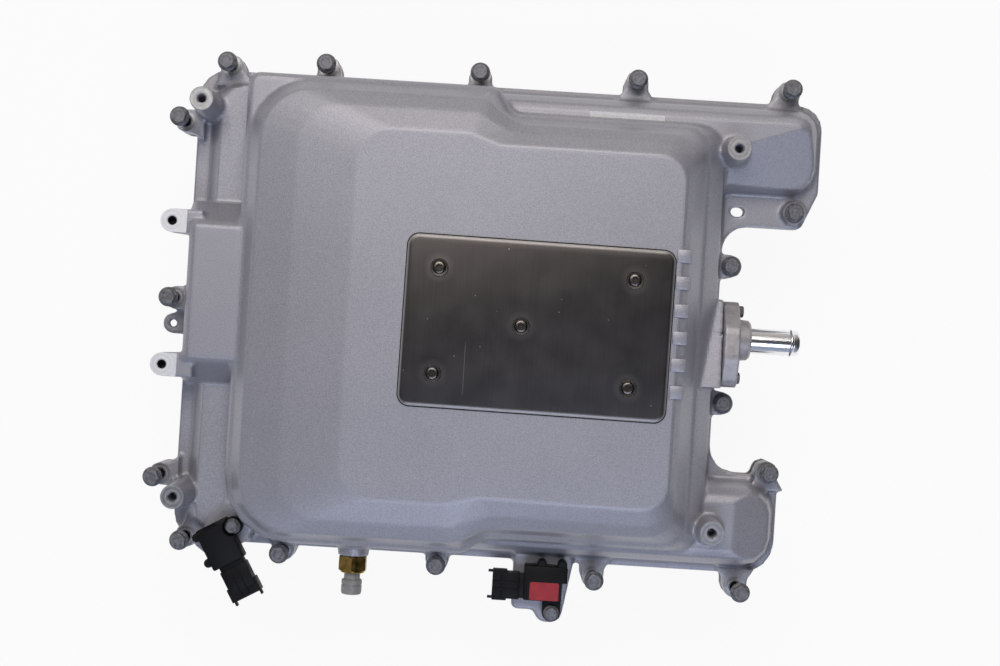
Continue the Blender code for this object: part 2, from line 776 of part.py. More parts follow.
def intercooler_core():
    """Flat bar-and-plate core with a tank at each end and two stubs into the cover's ports."""
    half_x, half_y = CORE_HALF
    core = block("core", (-half_x + 14.0, -half_y, 0.0), (half_x - 14.0, half_y, CORE_HEIGHT))
    for side in (-1, 1):
        tank = [
            (side * (half_x - 16.0), -half_y + 3.0, 4),
            (side * half_x, -half_y + 3.0, 8),
            (side * half_x, half_y - 3.0, 8),
            (side * (half_x - 16.0), half_y - 3.0, 4),
        ]
        join(core, flat("tank", [rounded(tank[::side], 2)], 2.0, CORE_HEIGHT - 2.0))
    lift = FLANGE_Z - CASE_TOP - SEAT_GAP
    for height in COOLANT_PORTS:
        start = (half_x - 6.0, COOLANT_PORT_Y, height + lift)
        join(core, rod("stub", 5.6, start, (COOLANT_FACE, COOLANT_PORT_Y, height + lift), 10))
    pitch = 2 * (half_y - 8.0) / CORE_FIN_ROWS
    for row in range(CORE_FIN_ROWS):
        y = -half_y + 8.0 + pitch * (row + 0.5)
        low = (-half_x + 22.0, y - pitch * 0.3, -1.0)
        cut(core, block("air_row", low, (half_x - 22.0, y + pitch * 0.3, CORE_HEIGHT + 1.0)))
    finish(core, "intercooler_core", CAST_ALLOY, (0.0, 0.0, CASE_TOP + SEAT_GAP))


def coolant_manifold():
    """End plate with an oval hub that carries the two hose tubes, bolted to the cover."""
    low_y, high_y = COOLANT_Y
    outline = [
        (low_y + 1, -3.0, 8),
        (high_y - 1, -3.0, 8),
        (high_y - 1, 34.0, 8),
        (6.0, 50.0, 12),
        (-16.0, 52.0, 12),
        (low_y + 1, 44.0, 8),
    ]
    plate = along_x("manifold", rounded(outline, 2), MANIFOLD_X, MANIFOLD_X + MANIFOLD_PLATE)
    upper, lower = COOLANT_PORTS
    wide = 13.5
    hub = [
        (COOLANT_PORT_Y - wide, lower - wide, wide - 0.1),
        (COOLANT_PORT_Y + wide, lower - wide, wide - 0.1),
        (COOLANT_PORT_Y + wide, upper + wide, wide - 0.1),
        (COOLANT_PORT_Y - wide, upper + wide, wide - 0.1),
    ]
    join(plate, along_x("hub", rounded(hub, 3), MANIFOLD_X + 2.0, MANIFOLD_X + MANIFOLD_HUB))
    for height in COOLANT_PORTS:
        past = (TUBE_END + 20.0, COOLANT_PORT_Y, height)
        cut(plate, rod("way", 6.9, (MANIFOLD_X - 5.0, COOLANT_PORT_Y, height), past, HOLE_SIDES))
        cut(plate, rod("socket", TUBE_RADIUS + 0.6, (MANIFOLD_X + 9.0, COOLANT_PORT_Y, height), past, 12))
    for y in COOLANT_BOLTS:
        hole = rod("clearance", 3.3, (MANIFOLD_X - 5.0, y, COOLANT_BOLT_Z), (TUBE_END, y, COOLANT_BOLT_Z), 6)
        cut(plate, hole)
    finish(plate, "coolant_manifold", CAST_ALLOY, (0.0, 0.0, FLANGE_Z))
    for n, y in enumerate(COOLANT_BOLTS, 1):
        bolt = turned_about_x(flange_bolt("bolt", 2.7, 18.0, 0.72))
        place = (MANIFOLD_X + MANIFOLD_PLATE + SEAT_GAP, y, FLANGE_Z + COOLANT_BOLT_Z)
        finish(bolt, f"coolant_manifold_bolt_{n}", ZINC, place)
    for name, height in zip(("coolant_tube_upper", "coolant_tube_lower"), COOLANT_PORTS):
        seat = MANIFOLD_X + 9.0 + SEAT_GAP
        long = TUBE_END - seat
        outer = TUBE_RADIUS
        profile = [
            (6.6, long),
            (outer - 0.6, long),
            (outer + 1.2, long - 3.5),
            (outer, long - 8.0),
            (outer, 0.0),
            (6.6, 0.0),
        ]
        tube = turned_about_x(turned("tube", profile, 12, closed=True))
        finish(tube, name, CHROME, (seat, COOLANT_PORT_Y, FLANGE_Z + height))


def along_x(name, outline, start, end):
    """Bar along +X whose section is an outline of (y, z) points."""
    return loft(name, [[(x, p.x, p.y) for p in outline] for x in (start, end)])


def turned(name, profile, steps, closed=False):
    """Body turned about +Z from (radius, height) points listed down its outer side."""
    shape = bmesh.new()
    points = [shape.verts.new((radius * MM, 0.0, height * MM)) for radius, height in profile]
    for upper, lower in zip(points, points[1:]):
        shape.edges.new((upper, lower))
    if closed:
        shape.edges.new((points[-1], points[0]))
    mesh = bpy.data.meshes.new(name)
    shape.to_mesh(mesh)
    shape.free()
    spun = bpy.data.objects.new(name, mesh)
    tools.objects.link(spun)
    screw = spun.modifiers.new("turn", "SCREW")
    screw.steps = steps
    screw.render_steps = steps
    screw.use_merge_vertices = True
    screw.merge_threshold = 0.00001
    graph = bpy.context.evaluated_depsgraph_get()
    body = bmesh.new()
    body.from_mesh(bpy.data.meshes.new_from_object(spun.evaluated_get(graph)))
    bpy.data.objects.remove(spun)
    bmesh.ops.scale(body, vec=(1 / MM, 1 / MM, 1 / MM), verts=body.verts)
    bmesh.ops.remove_doubles(body, verts=body.verts, dist=0.001)
    return mesh_object(name, body)


cover_bolts()
trim_plate()
intercooler_core()
coolant_manifold()


def plug_sensor(body_size, plug_size, bolt_offset, nozzle_offset):
    """Pressure sensor with its plug shroud along +X, a bolt tab and a nozzle below."""
    long, wide = body_size
    plug_long, plug_wide = plug_size
    body = block("sensor", (0.0, -wide / 2, 0.0), (long, wide / 2, SENSOR_BODY))
    half_plug = plug_wide / 2
    half_neck = half_plug - 1.5
    neck = block("neck", (long - 4.0, -half_neck, 2.0), (long + 4.0, half_neck, SENSOR_BODY - 2.0))
    shroud = block("shroud", (long + 3.0, -half_plug, 1.0), (long + plug_long, half_plug, SENSOR_BODY - 1.0))
    bolt_x, bolt_y = bolt_offset
    side = 1 if bolt_y > 0 else -1
    tab = [
        (bolt_x - TAB_REACH, side * (wide / 2 - 2.0), 0),
        (bolt_x + TAB_REACH, side * (wide / 2 - 2.0), 0),
        (bolt_x + TAB_REACH, bolt_y + side * TAB_REACH, TAB_REACH - 0.1),
        (bolt_x - TAB_REACH, bolt_y + side * TAB_REACH, TAB_REACH - 0.1),
    ]
    foot = flat("tab", [rounded(tab[::side], 3)], 0.0, SENSOR_TAB)
    nozzle = rod("nozzle", NOZZLE_RADIUS, (*nozzle_offset, -9.0), (*nozzle_offset, 2.0), 10)
    join(body, neck, shroud, foot, nozzle)
    mouth = (long + plug_long + 2.0, half_plug - 2.0, SENSOR_BODY - 3.0)
    cut(body, block("mouth", (long + 8.0, -half_plug + 2.0, 3.0), mouth))
    cut(body, rod("tab_hole", 3.2, (bolt_x, bolt_y, -2.0), (bolt_x, bolt_y, 20.0), HOLE_SIDES))
    cut(body, rod("head_room", 6.6, (bolt_x, bolt_y, SENSOR_TAB), (bolt_x, bolt_y, 20.0), 12))
    return body


def sensor_bolt(name, place, level):
    bolt = flange_bolt("bolt", 2.4, 16.0, 0.8)
    finish(bolt, name, ZINC, (*place, FLANGE_Z + level + SENSOR_TAB + 2 * SEAT_GAP))


def sensors():
    boost = plug_sensor((39.0, 29.0), (17.0, 21.0), (10.0, 21.5), (21.0, -6.5))
    boost.rotation_euler.z = math.pi
    finish(boost, "boost_sensor", BLACK_PLASTIC, (*BOOST_PLACE, FLANGE_Z + BOOST_PAD_TOP + SEAT_GAP))
    sensor_bolt("boost_sensor_bolt", BOOST_BOLT, BOOST_PAD_TOP)
    inlet = plug_sensor((31.0, 24.0), (28.0, 21.0), (8.2, 13.2), (18.0, -2.0))
    inlet.rotation_euler.z = math.radians(INLET_TURN)
    finish(inlet, "inlet_sensor", BLACK_PLASTIC, (*INLET_PLACE, FLANGE_Z + INLET_PAD_TOP + SEAT_GAP))
    sensor_bolt("inlet_sensor_bolt", INLET_BOLT, INLET_PAD_TOP)
    x, y, height = PROBE_SEAT
    hexagon = [
        ring(5.2, -22.0),
        ring(5.2, 0.0),
        ring(0.0, 0.0, flats=9.6),
        ring(0.0, 10.5, flats=9.6),
        ring(8.6, 11.9),
    ]
    body = loft("probe", hexagon)
    body.rotation_euler.x = math.pi / 2
    finish(body, "temperature_sensor_body", BRASS, (x, y - SEAT_GAP, FLANGE_Z + height))
    plug = loft("plug", [ring(5.8, 0.0), ring(5.8, 4.6), ring(7.3, 4.8), ring(7.3, 13.4), ring(6.6, 15.2)])
    plug.rotation_euler.x = math.pi / 2
    behind = y - PROBE_BODY - 2 * SEAT_GAP
    finish(plug, "temperature_sensor_connector", GREY_PLASTIC, (x, behind, FLANGE_Z + height))


def cover_gasket():
    """Moulded gasket that follows the flange between cover and case."""
    outer = rounded(inset(flange_corners(CASE_WEB_EDGE), 5.0), 2)
    inner = rounded(inset(flange_corners(CASE_WEB_EDGE), 11.0), 2)
    gasket = flat("gasket", [outer, inner], 0.0, GASKET)
    for x, y, _, _ in COVER_BOLTS:
        if min((p - Vector((x, y))).length for p in outer + inner) < 12.0:
            cut(gasket, rod("hole", BOLT_HOLE, (x, y, -5.0), (x, y, 5.0), HOLE_SIDES))
    finish(gasket, "cover_gasket", RUBBER, (0.0, 0.0, CASE_TOP + SEAT_GAP))


def stadium(radius, steps=7):
    """Outline (y, z) round both rotor axes."""
    points = []
    for side in (1, -1):
        for step in range(steps + 1):
            angle = side * math.pi / 2 - math.pi / 2 + math.pi * (step / steps - 0.5) + math.pi / 2
            offset = Vector((math.sin(angle), -math.cos(angle))) * radius
            points.append(Vector((side * ROTOR_CENTRES / 2, ROTOR_Z)) + offset)
    return points


def head_plane(y):
    """Height of the inclined head face at a distance from the middle plane."""
    return abs(y) + HEAD_FACE_RISE


def mirror_outline(points, side):
    """Outline (y, z) on the upper bank, or its mirror image on the lower one."""
    outline = [Vector((side * y, z)) for y, z in points]
    return outline[::side]


def rotor_case():
    """Rotor tunnel hung under a wide deck, with eight runners down to two inclined head flanges."""
    case = flat("case", [rounded(flange_corners(CASE_WEB_EDGE), 3)], CASE_TOP - CASE_DECK, CASE_TOP)
    for x, y, direction, _ in COVER_BOLTS:
        outward = CASE_WEB_LOBE if direction is None else direction
        join(case, lobe(x, y, outward, CASE_TOP - CASE_DECK, CASE_TOP))
    join(case, along_x("tunnel", stadium(TUNNEL_RADIUS), CASE_FRONT, CASE_REAR))
    half_x, half_y = BASE_PAD
    join(case, block("pad", (-half_x - 20.0, -half_y, 0.0), (half_x - 20.0, half_y, 8.0)))
    slant = HEAD_FLANGE / math.sqrt(2)
    for side in (1, -1):
        middle = side * BANK_OFFSET
        low, high = HEAD_FLANGE_SPAN
        flange = [
            (low, head_plane(low)),
            (high, head_plane(high)),
            (high - slant, head_plane(high) + slant),
            (low - slant, head_plane(low) + slant),
        ]
        for n in range(4):
            x = middle + (n - 1.5) * PORT_PITCH
            inner, outer = RUNNER_INNER - RUNNER_WALL, RUNNER_OUTER + RUNNER_WALL
            duct = [
                (inner, head_plane(inner) + 2.0),
                (outer, head_plane(outer) + 2.0),
                (outer, CASE_TOP - 3.0),
                (inner, CASE_TOP - 3.0),
            ]
            half = PORT_HALF + RUNNER_WALL
            join(case, along_x("runner", mirror_outline(duct, side), x - half, x + half))
        reach = 1.5 * PORT_PITCH + PORT_HALF + 14.0
        join(case, along_x("head_flange", mirror_outline(flange, side), middle - reach, middle + reach))
    for side in (1, -1):
        for n in range(4):
            x = side * BANK_OFFSET + (n - 1.5) * PORT_PITCH
            inner, outer = sorted((side * RUNNER_INNER, side * RUNNER_OUTER))
            cut(case, block("port", (x - PORT_HALF, inner, 10.0), (x + PORT_HALF, outer, FLANGE_Z)))
        axis = (side * ROTOR_CENTRES / 2, ROTOR_Z)
        cut(case, rod("bore", BORE_RADIUS, (CASE_FRONT - 5.0, *axis), (CASE_REAR + 5.0, *axis), 28))
    delta = [Vector((-132.0, -36.0)), Vector((44.0, -7.0)), Vector((44.0, 7.0)), Vector((-132.0, 36.0))]
    cut(case, flat("discharge", [delta], ROTOR_Z + 20.0, FLANGE_Z))
    cut(case, rod("bypass", BYPASS_BORE, (*BYPASS_PLACE, 100.0), (*BYPASS_PLACE, FLANGE_Z), 16))
    for x, y, _, _ in COVER_BOLTS:
        cut(case, rod("thread", BOLT_HOLE, (x, y, CASE_TOP - 20.0), (x, y, FLANGE_Z), 6))
    finish(case, "rotor_case", CAST_ALLOY)


sensors()
cover_gasket()
rotor_case()


def lobe_profile():
    """Section of one rotor: epicycloid lobes and hypocycloid roots on a common pitch circle."""
    pitch = ROTOR_CENTRES / 2
    roll = pitch / (2 * ROTOR_LOBES)
    half = LOBE_POINTS // 2
    true = []
    for n in range(ROTOR_LOBES):
        for step in range(LOBE_POINTS):
            rising = step < half
            part_turn = (step if rising else step - half) / half * math.pi / ROTOR_LOBES
            base = math.tau * n / ROTOR_LOBES + (0.0 if rising else math.pi / ROTOR_LOBES)
            if rising:
                inner = (pitch + roll) / roll * part_turn
                place = Vector(((pitch + roll) * math.cos(part_turn), (pitch + roll) * math.sin(part_turn)))
                place -= Vector((roll * math.cos(inner), roll * math.sin(inner)))
            else:
                inner = (pitch - roll) / roll * part_turn
                place = Vector(((pitch - roll) * math.cos(part_turn), (pitch - roll) * math.sin(part_turn)))
                place += Vector((roll * math.cos(inner), -roll * math.sin(inner)))
            true.append(Matrix.Rotation(base - math.pi / (2 * ROTOR_LOBES), 2) @ place)
    section = []
    for index, place in enumerate(true):
        along = (true[(index + 1) % len(true)] - true[index - 1]).normalized()
        section.append(place + Vector((-along.y, along.x)) * ROTOR_CLEARANCE)
    return section


def rotor(name, phase, hand):
    """Helical rotor with a through bore for its shaft."""
    section = lobe_profile()
    rings = []
    for n in range(ROTOR_SLICES + 1):
        share = n / ROTOR_SLICES
        turn = Matrix.Rotation(math.radians(phase + hand * ROTOR_TWIST * share), 2)
        x = ROTOR_START + (ROTOR_END - ROTOR_START) * share
        rings.append([(x, *(turn @ p)) for p in section])
    body = loft(name, rings)
    cut(body, rod("shaft_bore", SHAFT_RADIUS + 0.5, (ROTOR_START - 5, 0, 0), (ROTOR_END + 5, 0, 0), 14))
    return body


def gear(name, phase):
    """Spur timing gear; each tooth has two root and two tip points."""
    pitch = ROTOR_CENTRES / 2
    step = math.tau / GEAR_TEETH
    module = 2 * pitch / GEAR_TEETH
    root, tip = pitch - 1.3 * module, pitch + 0.75 * module
    outline = []
    for n in range(GEAR_TEETH):
        middle = math.radians(phase) + n * step
        for reach, share in ((root, -0.33), (tip, -0.12), (tip, 0.12), (root, 0.33)):
            angle = middle + share * step
            outline.append(Vector((reach * math.cos(angle), reach * math.sin(angle))))
    body = along_x(name, outline, *GEAR_FACE)
    cut(body, rod("shaft_bore", SHAFT_RADIUS + 0.5, (GEAR_FACE[0] - 5, 0, 0), (GEAR_FACE[1] + 5, 0, 0), 14))
    return body


def bearing(name, inner, outer, wide):
    profile = [(inner, wide), (outer, wide), (outer, 0.0), (inner, 0.0)]
    return turned_about_x(turned(name, profile, 12, closed=True))


def pulley():
    """Ribbed belt pulley with a dished web and a hub on the input end of the shaft."""
    start, end = PULLEY_FACE
    wide = end - start
    ribs = 4
    pitch = 3.56
    first = (wide - ribs * pitch) / 2
    profile = [
        (SHAFT_RADIUS + 0.5, wide),
        (21.0, wide),
        (21.0, 8.0),
        (32.0, 8.0),
        (34.0, wide),
        (40.0, wide),
        (40.0, first + ribs * pitch),
    ]
    for n in range(ribs):
        level = first + (ribs - n) * pitch
        profile += [(36.6, level - pitch / 2), (38.5 if n < ribs - 1 else 40.0, level - pitch)]
    profile += [(40.0, 0.0), (34.0, 0.0), (30.0, 4.0), (SHAFT_RADIUS + 0.5, 4.0)]
    body = turned_about_x(turned("pulley", profile, 16, closed=True))
    body.data.transform(Matrix.Translation((start * MM, 0.0, 0.0)))
    return body


def axis_empty(name, side):
    """Empty on one rotor axis, which carries everything that turns about it."""
    axis = bpy.data.objects.new(name, None)
    parts.objects.link(axis)
    axis.location = (0.0, side * ROTOR_CENTRES / 2 * MM, ROTOR_Z * MM)
    return axis


def rotor_train():
    """Both rotors with their shafts, timing gears and bearings, and the drive pulley."""
    for side, name, phase, hand in ((1, "drive", 180.0, 1), (-1, "driven", 180.0 / ROTOR_LOBES, -1)):
        axis = axis_empty(f"{name}_axis", side)
        finish(rotor("rotor", phase, hand), f"{name}_rotor", STEEL, parent=axis)
        front = PULLEY_FACE[0] + 4.6 if side > 0 else -177.0
        shaft = rod("shaft", SHAFT_RADIUS, (front, 0.0, 0.0), (REAR_PLATE[1] - 0.5, 0.0, 0.0), 14)
        if side > 0:
            cut(shaft, rod("thread", 5.0, (front - 5.0, 0.0, 0.0), (front + 22.0, 0.0, 0.0), 10))
        finish(shaft, f"{name}_rotor_shaft", STEEL, parent=axis)
        tooth = 180.0 if side > 0 else 180.0 / GEAR_TEETH
        finish(gear("gear", tooth), f"{name}_timing_gear", STEEL, parent=axis)
        front_ring = bearing("bearing", *FRONT_BEARING)
        finish(front_ring, f"front_bearing_{name}", STEEL, (FRONT_PLATE[0] + 0.5, 0.0, 0.0), axis)
        rear_ring = bearing("bearing", *REAR_BEARING)
        finish(rear_ring, f"rear_bearing_{name}", STEEL, (REAR_PLATE[0] + 0.3, 0.0, 0.0), axis)
        if side > 0:
            snout_ring = bearing("bearing", *SNOUT_BEARING)
            finish(snout_ring, "snout_bearing", STEEL, (END_COVER[0] + 0.3, 0.0, 0.0), axis)
            finish(pulley(), "drive_pulley", BLACK_PLASTIC, parent=axis)
            bolt = turned_about_x(flange_bolt("bolt", 4.5, 20.0, 2.0))
            bolt.rotation_euler.z = math.pi
            finish(bolt, "pulley_bolt", ZINC, (PULLEY_FACE[0] + 3.7, 0.0, 0.0), axis)


rotor_train()


# End plates, drive end cover, inlet housing and bypass valve
def end_plate(name, start, end, hole):
    """Plate across the tunnel end with a bearing hole on each rotor axis."""
    plate = along_x(name, stadium(END_RADIUS), start, end)
    for side in (1, -1):
        axis = (side * ROTOR_CENTRES / 2, ROTOR_Z)
        cut(plate, rod("bearing_hole", hole, (start - 5.0, *axis), (end + 5.0, *axis), 16))
    return plate


def front_bearing_plate():
    plate = end_plate("plate", *FRONT_PLATE, FRONT_BEARING[1] + 0.6)
    finish(plate, "front_bearing_plate", CAST_ALLOY)


def rear_bearing_plate():
    """Inlet-end plate: a window below the rotor mesh lets the air in."""
    start, end = REAR_PLATE
    plate = end_plate("plate", start, end, REAR_BEARING[1] + 0.6)
    lower = [Vector((-30.0, 10.0)), Vector((30.0, 10.0)), Vector((16.0, 40.0)), Vector((-16.0, 40.0))]
    cut(plate, along_x("window", lower, start - 5.0, end + 5.0))
    finish(plate, "rear_bearing_plate", CAST_ALLOY)


def drive_end_cover():
    """Gear chamber at the drive end, with a snout that carries the pulley bearing."""
    start, end = END_COVER
    outer = [(start, END_RADIUS - 8.0), (start + 10.0, END_RADIUS), (end, END_RADIUS)]
    shell = loft("end_cover", [[(x, p.x, p.y) for p in stadium(radius)] for x, radius in outer])
    cut(shell, along_x("chamber", stadium(END_RADIUS - 6.0), start + 10.0, end + 5.0))
    axis = (ROTOR_CENTRES / 2, ROTOR_Z)
    cut(shell, rod("snout_bore", SNOUT_BEARING[1] + 0.6, (start - 5.0, *axis), (start + 15.0, *axis), 16))
    finish(shell, "drive_end_cover", CAST_ALLOY)


def inlet_ring(x, radius):
    turns = [math.tau * n / INLET_SIDES for n in range(INLET_SIDES)]
    return [(x, radius * math.cos(turn), INLET_Z + radius * math.sin(turn)) for turn in turns]


def inlet_housing():
    """Throttle inlet that bolts to the rear plate, with a hole on top for the bypass."""
    plate_end = INLET_START + 6.0
    housing = along_x("inlet", stadium(END_RADIUS), INLET_START, plate_end)
    ends = (INLET_START + 1.0, INLET_END - 1.0)
    duct = loft("duct", [inlet_ring(x, INLET_RADIUS) for x in ends])
    half = INLET_RADIUS
    square = [(-half, -half, 8), (half, -half, 8), (half, half, 8), (-half, half, 8)]
    flange = [Vector((p.x, p.y + INLET_Z)) for p in rounded(square, 2)]
    x, y = BYPASS_PLACE
    join(housing, duct, along_x("throttle_flange", flange, INLET_END - THROTTLE_FLANGE, INLET_END))
    cut(
        housing,
        loft("bore", [inlet_ring(INLET_START - 2.0, INLET_BORE), inlet_ring(INLET_END + 4.0, INLET_BORE)]),
        rod("bypass_bore", BYPASS_BORE, (x, y, INLET_Z), (x, y, FLANGE_Z), 12),
    )
    for across in (-STUD_OFFSET, STUD_OFFSET):
        for up in (INLET_Z - STUD_OFFSET, INLET_Z + STUD_OFFSET):
            ends = [(x, across, up) for x in (INLET_END - 14.0, INLET_END + 4.0)]
            cut(housing, rod("stud_hole", 2.8, *ends, HOLE_SIDES))
    finish(housing, "inlet_housing", CAST_ALLOY)


def bypass_neck():
    """Short pipe that stands in a saddle on the inlet housing and meets the deck of the case."""
    x, y = BYPASS_PLACE
    top = CASE_TOP - CASE_DECK - SEAT_GAP
    neck = rod("neck", NECK_RADIUS, (x, y, INLET_Z + 24.0), (x, y, top), 16)
    saddle = [inlet_ring(INLET_START, INLET_RADIUS + 0.6), inlet_ring(INLET_END + 20.0, INLET_RADIUS + 0.6)]
    flange_low = (INLET_END - THROTTLE_FLANGE - 0.5, -60.0, 0.0)
    flange_high = (INLET_END + 30.0, 60.0, INLET_Z + INLET_RADIUS + 0.6)
    cut(
        neck,
        loft("saddle", saddle),
        block("flange_room", flange_low, flange_high),
        rod("neck_bore", BYPASS_BORE, (x, y, INLET_Z), (x, y, FLANGE_Z), 16),
        rod("shaft_hole", 3.6, (x, -40.0, VALVE_Z), (x, 40.0, VALVE_Z), HOLE_SIDES),
    )
    finish(neck, "bypass_neck", CAST_ALLOY)


def bypass_valve():
    """Butterfly, shaft with lever, vacuum can and rod of the bypass passage."""
    x, y = BYPASS_PLACE
    axis = bpy.data.objects.new("bypass_axis", None)
    parts.objects.link(axis)
    axis.location = (x * MM, y * MM, VALVE_Z * MM)
    disc = rod("disc", VALVE_DISC, (0.0, 0.0, -1.2), (0.0, 0.0, 1.2), 20)
    join(disc, rod("hub", 5.6, (0.0, -12.0, 0.0), (0.0, 12.0, 0.0), 10))
    cut(disc, rod("hub_bore", 3.4, (0.0, -20.0, 0.0), (0.0, 20.0, 0.0), HOLE_SIDES))
    finish(disc, "bypass_valve_disc", BRASS, parent=axis)
    shaft = rod("shaft", 2.9, (0.0, LEVER_Y - 1.0, 0.0), (0.0, NECK_RADIUS + 3.0, 0.0), 10)
    lever = [(-LEVER_ARM - 4.0, -3.5, 3.2), (5.0, -5.0, 4.4), (5.0, 5.0, 4.4), (-LEVER_ARM - 4.0, 3.5, 3.2)]
    plate = loft("lever", [[(p.x, LEVER_Y + wide, p.y) for p in rounded(lever, 3)] for wide in (0.0, 3.0)])
    join(shaft, plate)
    finish(shaft, "bypass_valve_shaft", STEEL, parent=axis)
    rod_x = x - LEVER_ARM
    can_y = LEVER_Y - 6.0
    profile = [
        (0.0, 34.0),
        (4.0, 34.0),
        (4.0, 30.0),
        (ACTUATOR_RADIUS, 26.0),
        (ACTUATOR_RADIUS, 14.0),
        (ACTUATOR_RADIUS - 2.0, 4.0),
        (4.0, 0.0),
        (0.0, 0.0),
    ]
    can = turned("can", profile, 16)
    bracket = block("bracket", (INLET_START + 6.0 + SEAT_GAP - rod_x, -5.0, 12.0), (-6.0, 11.0, 24.0))
    join(can, bracket)
    cut(can, rod("rod_way", 2.8, (0.0, 0.0, 12.0), (0.0, 0.0, 40.0), HOLE_SIDES))
    finish(can, "bypass_actuator", BLACK_PLASTIC, (rod_x, can_y, CAN_Z))
    pull = rod("pull", 1.8, (0.0, 0.0, 0.0), (0.0, 0.0, VALVE_Z - CAN_Z - 26.0), 8)
    eye = rod("pull_eye", 4.2, (0.0, -1.4, VALVE_Z - CAN_Z - 24.0), (0.0, 1.4, VALVE_Z - CAN_Z - 24.0), 12)
    join(pull, eye)
    finish(pull, "bypass_actuator_rod", ZINC, (rod_x, can_y, CAN_Z + 24.0))


front_bearing_plate()
rear_bearing_plate()
drive_end_cover()
inlet_housing()
bypass_neck()
bypass_valve()
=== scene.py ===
import math

import bmesh
import bpy
from mathutils import Matrix, Vector


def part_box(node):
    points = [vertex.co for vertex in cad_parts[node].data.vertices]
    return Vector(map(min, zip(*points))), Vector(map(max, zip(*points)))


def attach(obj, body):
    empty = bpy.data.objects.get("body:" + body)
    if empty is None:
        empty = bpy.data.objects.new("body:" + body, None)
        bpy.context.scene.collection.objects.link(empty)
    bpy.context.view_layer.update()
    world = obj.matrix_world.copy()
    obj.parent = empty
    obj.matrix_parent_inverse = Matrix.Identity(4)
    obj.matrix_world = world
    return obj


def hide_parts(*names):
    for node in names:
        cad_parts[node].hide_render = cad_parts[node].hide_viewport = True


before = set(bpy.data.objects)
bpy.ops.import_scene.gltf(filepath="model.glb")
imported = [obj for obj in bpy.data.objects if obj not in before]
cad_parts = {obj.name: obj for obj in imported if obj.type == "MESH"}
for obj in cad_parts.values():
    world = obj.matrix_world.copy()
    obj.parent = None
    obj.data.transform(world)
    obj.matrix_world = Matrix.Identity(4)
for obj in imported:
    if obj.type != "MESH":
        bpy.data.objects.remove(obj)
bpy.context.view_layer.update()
bpy.ops.object.select_all(action="DESELECT")

# Studio: a camera on a stand looks straight down from 1.28 m, turned a few degrees from the part.
# Two soft panels light it, a warm one past the upper edge and a cool, weaker one past the lower edge.
# Pale walls stand beyond both and to the left; the right-hand end is left dark.
CAMERA_PLACE = (0.002, -0.0075, 1.280)
CAMERA_TURN = 3.55
CAMERA_LENS = 56.3
CAMERA_SENSOR = 36

bpy.ops.object.camera_add(location=CAMERA_PLACE, rotation=(0, 0, math.radians(CAMERA_TURN)))
camera = bpy.context.object
camera.data.lens = CAMERA_LENS
camera.data.sensor_width = CAMERA_SENSOR
bpy.context.scene.camera = camera
bpy.context.scene.view_settings.view_transform = "Standard"


def linear(code):
    """Linear colour of an sRGB hex value."""
    parts = [int(code[n : n + 2], 16) / 255 for n in (1, 3, 5)]
    return (*[p / 12.92 if p <= 0.04045 else ((p + 0.055) / 1.055) ** 2.4 for p in parts], 1.0)


def add(tree, kind, settings=None, **links):
    """Adds a node; settings go to its properties or sockets, links come from other nodes' sockets."""
    made = tree.nodes.new(kind)
    for name, value in (settings or {}).items():
        if isinstance(name, str) and hasattr(made, name):
            setattr(made, name, value)
        else:
            made.inputs[name].default_value = value
    for name, source in links.items():
        socket = made.inputs[int(name[1:])] if name[1:].isdigit() else made.inputs[name.replace("_", " ")]
        tree.links.new(source, socket)
    return made


def new_finish(name, **values):
    """A Principled material with the values that are the same all over; returns it, its tree and shader."""
    material = bpy.data.materials.new(name)
    material.use_nodes = True
    shader = material.node_tree.nodes["Principled BSDF"]
    for socket, value in values.items():
        shader.inputs[socket.replace("_", " ")].default_value = value
    return material, material.node_tree, shader


# Sweep: matt white paper rolled out over the studio floor, far past the edge of the picture.
# Most of what the camera sees of it is plain white, and the rest keeps the part's faint soft shadow.
SWEEP_SIZE = 60
SWEEP_WHITE = 0.92
bpy.ops.mesh.primitive_plane_add(size=SWEEP_SIZE)
floor = bpy.context.object
floor.name = "floor"
paper = bpy.data.materials.new("white_paper")
paper.use_nodes = True
tree = paper.node_tree
tree.nodes.clear()
matt = add(tree, "ShaderNodeBsdfDiffuse", {"Color": linear("#f4f4f4")})
glow = add(tree, "ShaderNodeEmission", {"Color": (1, 1, 1, 1), "Strength": 1.0})
ray = add(tree, "ShaderNodeLightPath")
seen = add(
    tree,
    "ShaderNodeMath",
    {"operation": "MAXIMUM"},
    _0=ray.outputs["Is Camera Ray"],
    _1=ray.outputs["Is Glossy Ray"],
)
either = add(
    tree,
    "ShaderNodeMath",
    {"operation": "MAXIMUM"},
    _0=seen.outputs[0],
    _1=ray.outputs["Is Transmission Ray"],
)
share = add(tree, "ShaderNodeMath", {"operation": "MULTIPLY", 1: SWEEP_WHITE}, _0=either.outputs[0])
mixed = add(tree, "ShaderNodeMixShader", None, Fac=share.outputs[0], _1=matt.outputs[0], _2=glow.outputs[0])
add(tree, "ShaderNodeOutputMaterial", None, Surface=mixed.outputs[0])
floor.data.materials.append(paper)

